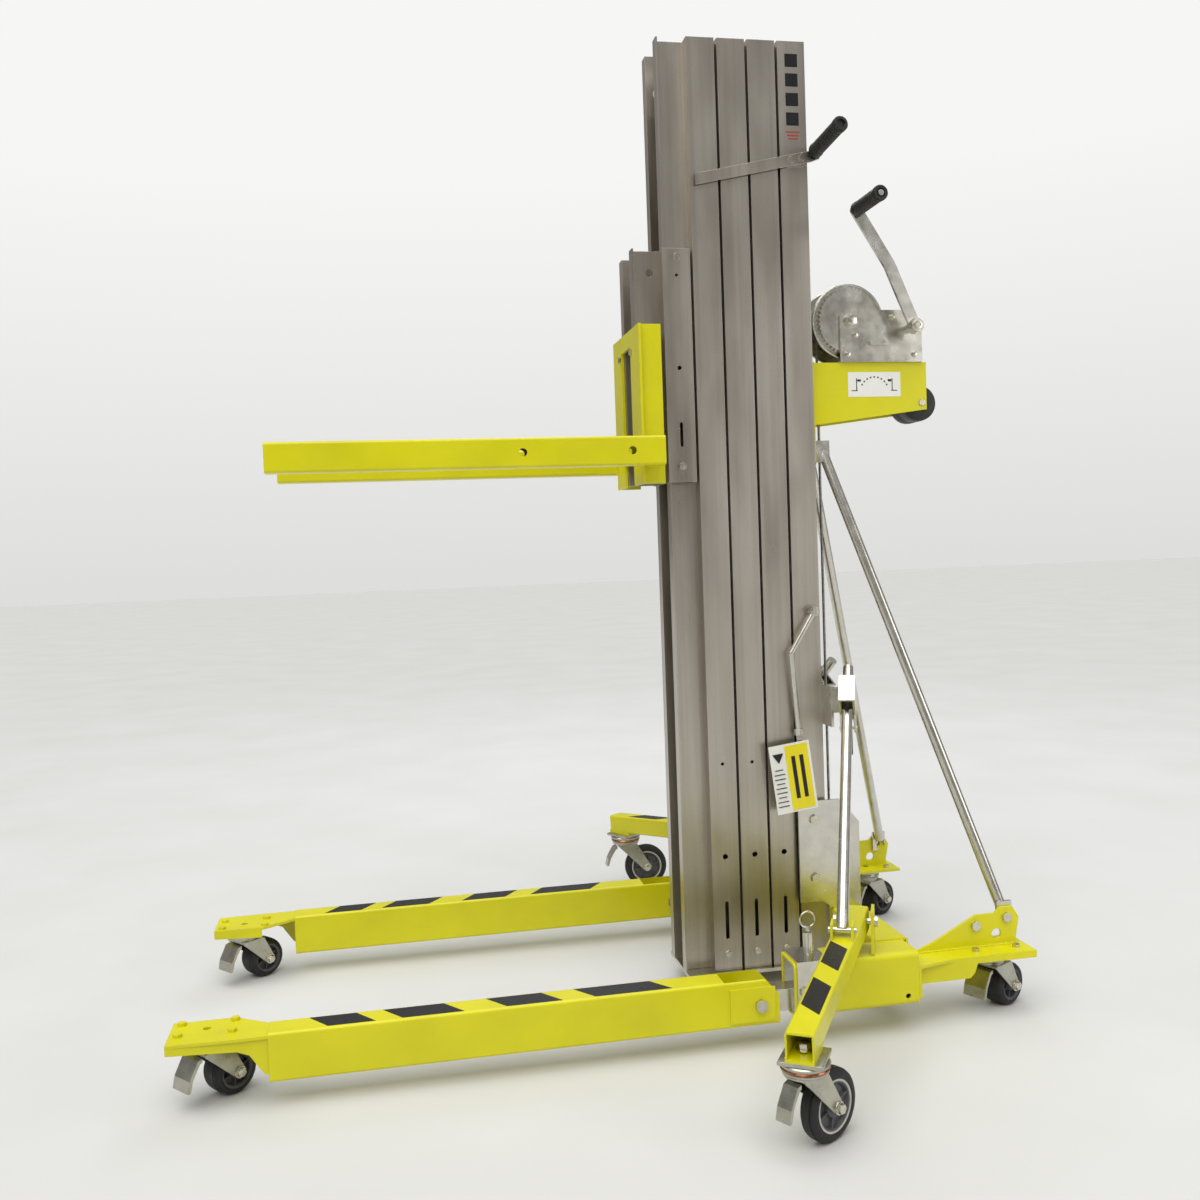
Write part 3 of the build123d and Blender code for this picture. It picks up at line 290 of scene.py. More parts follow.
@dataclass(frozen=True)
class ZincPlate(Finish):
    """Bright zinc plate on steel: a pale metal with a faint warm and cool tint and cloudy
    patches, glossier than the aluminium, with rolled lines along the sheet."""

    light: str = "#DAD8D0"
    dark: str = "#C3C0B6"
    tint: str = "#CCC4A6"
    cloud_mm: float = 26.0
    roll_line_mm: float = 1.1
    roll_length_mm: float = 30.0
    rough_low: float = 0.18
    rough_high: float = 0.3

    def shader(self, tree: NodeTree) -> Node:
        """Draw the spangle clouds, the passivation tint and fine rolling lines.

        Args:
            tree: The material's tree.

        Returns:
            The Principled shader node.
        """
        where = add_node(tree, "ShaderNodeTexCoord")
        clouds = add_node(tree, "ShaderNodeTexNoise", inputs={
            "Vector": where.outputs["Object"], "Scale": per_mm(self.cloud_mm), "Detail": 5.0,
            "Roughness": 0.6})
        hue = add_node(tree, "ShaderNodeTexNoise", inputs={
            "Vector": where.outputs["Object"], "Scale": per_mm(self.cloud_mm * 2.6)})
        sheet = add_node(tree, "ShaderNodeMapping", inputs={
            "Vector": where.outputs["Object"],
            "Scale": (per_mm(self.roll_length_mm), per_mm(self.roll_line_mm),
                      per_mm(self.roll_line_mm))})
        rolled = add_node(tree, "ShaderNodeTexNoise", inputs={
            "Vector": sheet.outputs["Vector"], "Scale": 1.0, "Detail": 3.0})
        cloud = add_node(tree, "ShaderNodeMapRange", inputs={
            "Value": clouds.outputs["Fac"], "From Min": 0.3, "From Max": 0.7})
        tinge = add_node(tree, "ShaderNodeMapRange", inputs={
            "Value": hue.outputs["Fac"], "From Min": 0.45, "From Max": 0.8, "To Max": 0.3})
        body = add_node(tree, "ShaderNodeMix", {"data_type": "RGBA"}, {
            0: cloud.outputs["Result"], 6: linear(self.dark), 7: linear(self.light)})
        tinted = add_node(tree, "ShaderNodeMix", {"data_type": "RGBA"}, {
            0: tinge.outputs["Result"], 6: body.outputs[2], 7: linear(self.tint)})
        rough = add_node(tree, "ShaderNodeMapRange", inputs={
            "Value": clouds.outputs["Fac"], "From Min": 0.3, "From Max": 0.75,
            "To Min": self.rough_low, "To Max": self.rough_high})
        edge = add_node(tree, "ShaderNodeBevel", {"samples": 4}, {"Radius": 0.7 * MM})
        relief = add_node(tree, "ShaderNodeBump", inputs={
            "Height": rolled.outputs["Fac"], "Distance": 0.04 * MM,
            "Normal": edge.outputs["Normal"]})
        return add_node(tree, "ShaderNodeBsdfPrincipled", inputs={
            "Base Color": tinted.outputs[2], "Metallic": 1.0,
            "Roughness": rough.outputs["Result"], "Normal": relief.outputs["Normal"]})


@dataclass(frozen=True)
class MouldedPlastic(Finish):
    """Moulded rubber, nylon or polyurethane: one even colour with a spark-eroded texture and
    dull worn patches, so that highlights stay broad and soft.

    Real mould texture is a tenth of a millimetre across, too fine to show, so it is drawn
    coarser here.
    """

    colour: str = "#1B1B1A"
    worn: str = "#33332F"
    grain_mm: float = 1.2
    wear_mm: float = 17.0
    depth_mm: float = 0.06
    rough_low: float = 0.42
    rough_high: float = 0.62
    subsurface: float = 0.0

    def shader(self, tree: NodeTree) -> Node:
        """Draw the mould texture and the wear.

        Args:
            tree: The material's tree.

        Returns:
            The Principled shader node.
        """
        where = add_node(tree, "ShaderNodeTexCoord")
        grain = add_node(tree, "ShaderNodeTexNoise", inputs={
            "Vector": where.outputs["Object"], "Scale": per_mm(self.grain_mm), "Detail": 3.0})
        wear = add_node(tree, "ShaderNodeTexNoise", inputs={
            "Vector": where.outputs["Object"], "Scale": per_mm(self.wear_mm), "Detail": 5.0,
            "Roughness": 0.65})
        rubbed = add_node(tree, "ShaderNodeMapRange", inputs={
            "Value": wear.outputs["Fac"], "From Min": 0.5, "From Max": 0.75, "To Max": 0.8})
        body = add_node(tree, "ShaderNodeMix", {"data_type": "RGBA"}, {
            0: rubbed.outputs["Result"], 6: linear(self.colour), 7: linear(self.worn)})
        rough = add_node(tree, "ShaderNodeMapRange", inputs={
            "Value": wear.outputs["Fac"], "From Min": 0.35, "From Max": 0.7,
            "To Min": self.rough_low, "To Max": self.rough_high})
        edge = add_node(tree, "ShaderNodeBevel", {"samples": 4}, {"Radius": 0.6 * MM})
        relief = add_node(tree, "ShaderNodeBump", inputs={
            "Height": grain.outputs["Fac"], "Distance": self.depth_mm * MM,
            "Normal": edge.outputs["Normal"]})
        return add_node(tree, "ShaderNodeBsdfPrincipled", inputs={
            "Base Color": body.outputs[2], "Roughness": rough.outputs["Result"],
            "Normal": relief.outputs["Normal"], "IOR": 1.5,
            "Subsurface Weight": self.subsurface, "Subsurface Scale": 2.0 * MM})


@dataclass(frozen=True)
class PrintedFilm(Finish):
    """Calendered vinyl film stuck to metal: flat colour, a satin sheen and a slight ripple
    from the adhesive, paler where the print has rubbed."""

    colour: str = "#141416"
    rubbed: str = "#2C2C2C"
    ripple_mm: float = 6.0
    rub_mm: float = 9.0

    def shader(self, tree: NodeTree) -> Node:
        """Draw the ripple and the rubbed print.

        Args:
            tree: The material's tree.

        Returns:
            The Principled shader node.
        """
        where = add_node(tree, "ShaderNodeTexCoord")
        ripple = add_node(tree, "ShaderNodeTexNoise", inputs={
            "Vector": where.outputs["Object"], "Scale": per_mm(self.ripple_mm), "Detail": 1.0})
        rub = add_node(tree, "ShaderNodeTexNoise", inputs={
            "Vector": where.outputs["Object"], "Scale": per_mm(self.rub_mm), "Detail": 6.0,
            "Roughness": 0.75})
        pale = add_node(tree, "ShaderNodeMapRange", inputs={
            "Value": rub.outputs["Fac"], "From Min": 0.58, "From Max": 0.75, "To Max": 0.7})
        body = add_node(tree, "ShaderNodeMix", {"data_type": "RGBA"}, {
            0: pale.outputs["Result"], 6: linear(self.colour), 7: linear(self.rubbed)})
        rough = add_node(tree, "ShaderNodeMapRange", inputs={
            "Value": rub.outputs["Fac"], "From Min": 0.4, "From Max": 0.7,
            "To Min": 0.32, "To Max": 0.5})
        relief = add_node(tree, "ShaderNodeBump", inputs={
            "Height": ripple.outputs["Fac"], "Distance": 0.05 * MM})
        return add_node(tree, "ShaderNodeBsdfPrincipled", inputs={
            "Base Color": body.outputs[2], "Roughness": rough.outputs["Result"],
            "Normal": relief.outputs["Normal"], "IOR": 1.45})


@dataclass(frozen=True)
class StudioPaper(Finish):
    """Pale seamless studio floor, matt with a hardly visible mottling."""

    colour: str = "#D2D2D0"
    mottled: str = "#CDCDCA"
    mottle_mm: float = 400.0

    def shader(self, tree: NodeTree) -> Node:
        """Draw the mottling.

        Args:
            tree: The material's tree.

        Returns:
            The Principled shader node.
        """
        where = add_node(tree, "ShaderNodeTexCoord")
        cloud = add_node(tree, "ShaderNodeTexNoise", inputs={
            "Vector": where.outputs["Object"], "Scale": per_mm(self.mottle_mm), "Detail": 3.0})
        soft = add_node(tree, "ShaderNodeMapRange", inputs={
            "Value": cloud.outputs["Fac"], "From Min": 0.3, "From Max": 0.7})
        body = add_node(tree, "ShaderNodeMix", {"data_type": "RGBA"}, {
            0: soft.outputs["Result"], 6: linear(self.mottled), 7: linear(self.colour)})
        return add_node(tree, "ShaderNodeBsdfPrincipled", inputs={
            "Base Color": body.outputs[2], "Roughness": 0.85, "Specular IOR Level": 0.2})


ALUMINIUM = ExtrudedAluminium("mill_finish_aluminium", "mast_aluminium")
YELLOW = PowderCoat("lemon_powder_coat", "yellow_paint")
ZINC = ZincPlate("bright_zinc_plate", "zinc_steel")
CASTER_ZINC = ZincPlate("pressed_zinc_steel", "caster_zinc", light="#BFBEB2", dark="#A3A296",
                        rough_low=0.25, rough_high=0.38)
BOLT = ZincPlate("zinc_bolt_steel", "bolt_steel", light="#DCD8CC", dark="#C4BFAE", cloud_mm=6.0,
                 rough_low=0.18, rough_high=0.32)
ROPE = ZincPlate("galvanised_rope_wire", "cable_steel", light="#A5A49D", dark="#6F6D66",
                 cloud_mm=4.0, rough_low=0.3, rough_high=0.45)
GRIP = MouldedPlastic("black_pvc_grip", "black_grip", colour="#191A17", worn="#2B2C27")
TYRE = MouldedPlastic("black_rubber_tyre", "caster_tyre", colour="#121311", worn="#2A2B28",
                      grain_mm=2.0, rough_low=0.5, rough_high=0.72)
ROLLER = MouldedPlastic("black_rubber_roller", "roller_rubber", colour="#151613", worn="#2F302B")
NYLON = MouldedPlastic("natural_nylon", "sheave_nylon", colour="#D8D4C6", worn="#A9A493",
                       rough_low=0.35, rough_high=0.5, subsurface=0.15)
HUB = MouldedPlastic("charcoal_polypropylene", "caster_tyre", colour="#4A4A4C", worn="#626265",
                     rough_low=0.38, rough_high=0.5)
RING = MouldedPlastic("grey_polyurethane_ring", "caster_tyre", colour="#B9B7B0",
                      worn="#8F8D86", rough_low=0.35, rough_high=0.5)
DUST_RING = ZincPlate("passivated_bearing_ring", "caster_zinc", light="#C98A62", dark="#94522F",
                      tint="#D2A183", cloud_mm=9.0)
FILM = PrintedFilm("black_vinyl_film", "yellow_paint")
WHITE_CARD = PrintedFilm("white_vinyl_card", "black_grip", colour="#E8E8E2", rubbed="#CFCFC6")
YELLOW_CARD = PrintedFilm("yellow_vinyl_panel", "yellow_paint", colour="#E8D81C",
                          rubbed="#C9BD3A")
RED_PRINT = PrintedFilm("red_vinyl_print", "yellow_paint", colour="#A04335", rubbed="#B96A5C")
PAPER = StudioPaper("pale_studio_paper", "")

SLOT_FINISHES: dict[str, Finish] = {
    each.slot: each for each in (ALUMINIUM, YELLOW, ZINC, CASTER_ZINC, BOLT, ROPE, GRIP, TYRE,
                                 ROLLER, NYLON)}


# ------------------------------------------------------------------ mesh helpers
def turned(bm: bmesh.types.BMesh, outline: Iterable[tuple[float, float]], centre: Vector,
           axis: Vector, steps: int = TURN_STEPS) -> list[bmesh.types.BMVert]:
    """Spin an outline once round an axis.

    Args:
        bm: The mesh that gets the turned shape.
        outline: Pairs of radius and distance along the axis; a closed ring repeats its first.
        centre: Where distance nought lies.
        axis: Unit direction of the axis.
        steps: Segments in the full turn.

    Returns:
        The vertices of the new shape.
    """
    before = set(bm.verts)
    out = axis.orthogonal().normalized()
    ring = [bm.verts.new(centre + out * r + axis * d) for r, d in outline]
    edges = [bm.edges.new(pair) for pair in zip(ring, ring[1:])]
    bmesh.ops.spin(bm, geom=ring + edges, cent=centre, axis=axis, angle=FULL_TURN, steps=steps,
                   use_merge=True)
    made = [v for v in bm.verts if v not in before]
    bmesh.ops.remove_doubles(bm, verts=made, dist=MERGE)
    return [v for v in bm.verts if v not in before]


def slab(bm: bmesh.types.BMesh, middle: Vector, along: Vector, across: Vector,
         size: tuple[float, float, float], corner: float = 0.0) -> None:
    """Add a box turned to two directions, its edges rounded.

    Args:
        bm: The mesh that gets the box.
        middle: Centre of the box.
        along: Direction of its length.
        across: Direction of its width.
        size: Length, width and height.
        corner: Radius of its edges, nought for sharp ones.
    """
    up = along.cross(across).normalized()
    turn = Matrix((along.normalized(), across.normalized(), up)).transposed().to_4x4()
    place = Matrix.Translation(middle) @ turn @ Matrix.Diagonal((*size, 1.0))
    made = bmesh.ops.create_cube(bm, size=1.0, matrix=place)["verts"]
    if corner > 0:
        edges = {edge for vert in made for edge in vert.link_edges}
        bmesh.ops.bevel(bm, geom=list(edges), offset=corner, segments=3, profile=0.5,
                        affect="EDGES", material=-1)


def hex_head(bm: bmesh.types.BMesh, middle: Vector, axis: Vector, across_flats: float,
             height: float) -> None:
    """Add a hexagon head with a washer face, chamfered at its outer end.

    Args:
        bm: The mesh that gets the head.
        middle: Centre of the face it sits on.
        axis: Unit direction it stands out in.
        across_flats: Width between two flats.
        height: How far it stands out.
    """
    turn = Vector((0, 0, 1)).rotation_difference(axis).to_matrix().to_4x4()
    place = Matrix.Translation(middle + axis * height / 2) @ turn
    radius = across_flats / math.sqrt(3)
    made = bmesh.ops.create_cone(bm, cap_ends=True, segments=6, radius1=radius, radius2=radius,
                                 depth=height, matrix=place)["verts"]
    top = [edge for vert in made for edge in vert.link_edges
           if all((v.co - middle).dot(axis) > height * 0.9 for v in edge.verts)]
    bmesh.ops.bevel(bm, geom=list(set(top)), offset=height * 0.18, segments=2, profile=0.5,
                    affect="EDGES", material=-1)


@dataclass(frozen=True)
class Washer:
    """A turned washer: radii of its seat, rim and top face, and the levels of rim and top."""

    seat: float
    rim: float
    rim_level: float
    top: float
    height: float
    steps: int = DISC_STEPS

    def add(self, bm: bmesh.types.BMesh, face: Vector, out: Vector) -> None:
        """Turn the washer on a face.

        Args:
            bm: The mesh that gets it.
            face: Middle of its seat.
            out: Unit direction it stands out in.
        """
        outline = [(0.0, 0.0), (self.seat, 0.0), (self.rim, self.rim_level),
                   (self.top, self.height), (0.0, self.height)]
        turned(bm, outline, face, out, self.steps)


@dataclass(frozen=True)
class Bolt:
    """A hexagon head let a little into its washer."""

    washer: Washer
    across_flats: float
    height: float

    def add(self, bm: bmesh.types.BMesh, face: Vector, out: Vector) -> None:
        """Set the washer and the head on a face.

        Args:
            bm: The mesh that gets it.
            face: Middle of its seat.
            out: Unit direction it stands out in.
        """
        self.washer.add(bm, face, out)
        hex_head(bm, face + out * (self.washer.height - HEAD_LET_IN), out, self.across_flats,
                 self.height)


def finished(name: str, bm: bmesh.types.BMesh, finish: Finish, body: str,
             instead_of: Sequence[str] = ()) -> Object:
    """Make an object of a mesh: doubles merged, faces out, dressed and riding on its body.

    Args:
        name: The piece's name.
        bm: Its mesh, which is used up.
        finish: What it is made of.
        body: The CAD body it moves with.
        instead_of: CAD nodes that it stands for.

    Returns:
        The new object.
    """
    bmesh.ops.remove_doubles(bm, verts=bm.verts, dist=MERGE)
    bmesh.ops.recalc_face_normals(bm, faces=bm.faces)
    for face in bm.faces:
        face.smooth = True
    for edge in bm.edges:
        edge.smooth = len(edge.link_faces) == 2 and edge.calc_face_angle(0.0) < SHARP
    mesh: Mesh = bpy.data.meshes.new(name)
    bm.to_mesh(mesh)
    bm.free()
    mesh.materials.append(finish.material())
    made = bpy.data.objects.new(name, mesh)
    bpy.context.scene.collection.objects.link(made)
    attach(made, body)
    if instead_of:
        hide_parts(*instead_of)
    LOG.info("%s rides on %s, %d faces", name, body, len(mesh.polygons))
    return made


def joint_row(name: str) -> dict[str, Any]:
    """Return a joint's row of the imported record."""
    return next(joint for joint in frame["joints"] if joint["name"] == name)


def joint_place(name: str) -> Vector:
    """Return where a joint turns."""
    return Vector(joint_row(name)["pos_m"])


def joint_axis(name: str) -> Vector:
    """Return the unit axis of a joint."""
    return Vector(joint_row(name)["axis"]).normalized()


# ------------------------------------------------------------------ sub-assemblies
@dataclass
class CadDressing:
    """Gives each CAD node that stays in view the finish of its material slot."""

    record: dict[str, Any]

    def dress(self) -> None:
        """Set every node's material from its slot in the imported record."""
        slots = {part["node"]: part["material_slot"] for part in self.record["subparts"]}
        for node, made in frame["nodes"].items():
            finish = SLOT_FINISHES[slots[node]]
            made.data.materials.clear()
            made.data.materials.append(finish.material())
            LOG.info("%s is dressed as %s", node, finish.name)


@dataclass
class CasterWheel:
    """One caster's wheel and the fork's small parts: tyre, rim ring, hub and axle bolt.

    The radii are shares of the wheel's radius, the widths shares of its width.
    """

    name: str
    has_ring: bool
    rim_share: float = 0.72
    ring_share: float = 0.66
    boss_share: float = 0.3
    bore_share: float = 0.135
    crown_share: float = 0.10
    dish_share: float = 0.45
    ribs: int = 6
    rib_share: float = 0.055
    rib_round: float = 0.6 * MM
    fork_gap: float = 6.0 * MM
    bolt: Bolt = Bolt(Washer(9.5 * MM, 9.8 * MM, 0.6 * MM, 9.5 * MM, 1.4 * MM, 32),
                      13.0 * MM, 6.0 * MM)

    def build(self) -> None:
        """Measure the CAD wheel and build the pieces that stand for it."""
        node = f"caster_wheel_{self.name}"
        low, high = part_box(node)
        radius = (high.z - low.z) / 2
        centre = joint_place(f"wheel_{self.name}_spin")
        axis = joint_axis(f"wheel_{self.name}_spin")
        centre.z = (high.z + low.z) / 2
        verts = frame["nodes"][node].data.vertices
        half = max((v.co - centre).dot(axis) for v in verts)
        self.tyre(node, centre, axis, radius, half)
        self.hub(node, centre, axis, radius, half)
        self.axle(centre, axis, half)

    def tyre(self, node: str, centre: Vector, axis: Vector, radius: float, half: float) -> None:
        """Build the tyre with its crowned tread, shoulder grooves and side lips.

        Args:
            node: The CAD wheel that the piece stands on.
            centre: Middle of the wheel.
            axis: Unit direction of its axle.
            radius: Radius of its tread.
            half: Half its width.
        """
        inner = radius * self.rim_share
        flat = half * 0.45
        crown = radius * self.crown_share
        outline = [(inner, -half * 0.94), (inner + crown * 0.5, -half),
                   (radius - crown * 1.7, -half * 0.97), (radius - crown * 0.75, -half * 0.86),
                   (radius - crown * 0.22, -half * 0.66), (radius - crown * 0.34, -flat * 1.04),
                   (radius - crown * 0.04, -flat * 0.94), (radius, 0.0)]
        mirror = [(r, -d) for r, d in reversed(outline[:-1])]
        bm = bmesh.new()
        turned(bm, outline + mirror + [outline[0]], centre, axis)
        finished(f"tyre_{self.name}", bm, TYRE, node, [node])

    def hub(self, node: str, centre: Vector, axis: Vector, radius: float, half: float) -> None:
        """Build the rim ring, the dished hub with ribs and its boss.

        Args:
            node: The CAD wheel that the piece stands on.
            centre: Middle of the wheel.
            axis: Unit direction of its axle.
            radius: Radius of its tread.
            half: Half its width.
        """
        rim, ring = radius * self.rim_share, radius * self.ring_share
        bm = bmesh.new()
        outline = [(ring, -half * 0.93), (rim, -half * 0.96), (rim, half * 0.96),
                   (ring, half * 0.93), (ring, -half * 0.93)]
        turned(bm, outline, centre, axis)
        finished(f"rim_ring_{self.name}", bm, RING if self.has_ring else HUB, node)
        boss = radius * self.boss_share
        bore = radius * self.bore_share
        dish = half * self.dish_share
        side = [(bore, half * 0.93), (boss * 0.9, half * 0.93), (boss, half * 0.86),
                (boss * 1.08, dish), (ring * 0.86, dish), (ring * 0.93, half * 0.86),
                (ring, half * 0.9)]
        whole = side + [(r, -d) for r, d in reversed(side)] + [side[0]]
        bm = bmesh.new()
        turned(bm, whole, centre, axis)
        out = axis.orthogonal().normalized()
        for number in range(self.ribs):
            spoke = Matrix.Rotation(FULL_TURN * number / self.ribs, 3, axis) @ out
            slab(bm, centre + spoke * (boss + ring * 0.9) / 2, spoke, axis,
                 (ring * 0.95 - boss, half * 1.6, radius * self.rib_share), self.rib_round)
        finished(f"wheel_hub_{self.name}", bm, HUB, node)

    def axle(self, centre: Vector, axis: Vector, half: float) -> None:
        """Build the axle's washer and hexagon head on each side of the fork.

        Args:
            centre: Middle of the wheel.
            axis: Unit direction of its axle.
            half: Half the wheel's width.
        """
        bm = bmesh.new()
        for out in (axis, -axis):
            self.bolt.add(bm, centre + out * (half + self.fork_gap), out)
        finished(f"axle_bolt_{self.name}", bm, BOLT, f"caster_fork_{self.name}")


@dataclass
class SwivelHead:
    """The turned race between a caster's top plate and its fork, with its coloured dust ring."""

    name: str
    coloured: bool
    race_share: float = 0.24
    outer_share: float = 1.06
    bore_share: float = 0.9
    wheel_gap: float = 9.2 * MM
    plate_gap: float = 0.3 * MM

    def build(self) -> None:
        """Build the upper cup, the dust ring and the lower cup."""
        place = joint_place(f"swivel_{self.name}")
        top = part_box(f"caster_fork_{self.name}")[1].z
        race = self.race_share * place.z
        centre = Vector((place.x, place.y, 0.0))
        up = Vector(Turn.UPRIGHT.value)
        outer, bore = race * self.outer_share, race * self.bore_share
        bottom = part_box(f"caster_wheel_{self.name}")[1].z + self.wheel_gap
        tall = top - bottom
        body = f"caster_fork_{self.name}"
        bm = bmesh.new()
        cup = [(bore, bottom), (outer * 0.9, bottom), (outer, bottom + tall * 0.25),
               (outer, bottom + tall * 0.38), (bore, bottom + tall * 0.42),
               (bore, bottom)]
        lid = [(bore, top - tall * 0.32), (outer * 1.02, top - tall * 0.34),
               (outer * 1.06, top - tall * 0.12), (outer, top - self.plate_gap),
               (bore, top - self.plate_gap), (bore, top - tall * 0.32)]
        turned(bm, cup, centre, up)
        turned(bm, lid, centre, up)
        finished(f"race_cups_{self.name}", bm, CASTER_ZINC, body)
        bm = bmesh.new()
        ring = [(bore, bottom + tall * 0.44), (outer * 1.02, bottom + tall * 0.44),
                (outer * 1.05, bottom + tall * 0.54), (outer * 1.02, top - tall * 0.36),
                (bore, top - tall * 0.36), (bore, bottom + tall * 0.44)]
        turned(bm, ring, centre, up)
        finished(f"dust_ring_{self.name}", bm, DUST_RING if self.coloured else CASTER_ZINC, body)


@dataclass
class HandGrip:
    """A moulded sleeve on a round pin: flared ends, fine rings and a recess in the end."""

    name: str
    node: str
    body: str
    rings: int = 14
    radius: float = 14.0 * MM
    socket: float = 7.5 * MM
    socket_depth: float = 4.0 * MM
    ringed: tuple[float, float] = (0.12, 0.86)
    search_rounds: int = 40

    def build(self) -> None:
        """Turn the sleeve between the CAD grip's two end faces."""
        start, end = self.ends()
        axis = (end - start).normalized()
        length = (end - start).length
        r = self.radius
        outline = [(0.0, 0.0), (r * 0.86, 0.0), (r * 0.97, length * 0.02), (r, length * 0.05)]
        first, last = (length * share for share in self.ringed)
        pitch = (last - first) / self.rings
        for number in range(self.rings):
            at = first + pitch * number
            outline += [(r * 0.93, at), (r * 0.93, at + pitch * 0.55),
                        (r * 0.88, at + pitch * 0.68), (r * 0.88, at + pitch * 0.87)]
        outline += [(r * 0.95, last), (r, length * 0.92), (r * 0.99, length * 0.975),
                    (r * 0.88, length), (self.socket * 1.1, length),
                    (self.socket, length - MM), (self.socket, length - self.socket_depth),
                    (0.0, length - self.socket_depth)]
        bm = bmesh.new()
        turned(bm, outline, start, axis)
        finished(self.name, bm, GRIP, self.body, [self.node])

    def ends(self) -> tuple[Vector, Vector]:
        """Find where the CAD grip begins and ends.

        Returns:
            The middles of its inner and outer end faces.
        """
        verts = [v.co for v in frame["nodes"][self.node].data.vertices]
        centre = sum(verts, Vector()) / len(verts)
        reach = max(verts, key=lambda co: (co - centre).length) - centre
        axis = self.long_axis(verts, centre, reach)
        spans = [(co - centre).dot(axis) for co in verts]
        if axis.y < 0:
            axis, spans = -axis, [-s for s in spans]
        return centre + axis * min(spans), centre + axis * max(spans)

    def long_axis(self, verts: list[Vector], centre: Vector, guess: Vector) -> Vector:
        """Refine a first guess of the direction in which the grip is longest.

        Args:
            verts: Every corner of the CAD grip.
            centre: Their mean.
            guess: A direction roughly along the grip.

        Returns:
            The unit direction of its length.
        """
        axis = guess.normalized()
        for _ in range(self.search_rounds):
            total = Vector()
            for co in verts:
                offset = co - centre
                total += offset * offset.dot(axis)
            axis = total.normalized()
        return axis


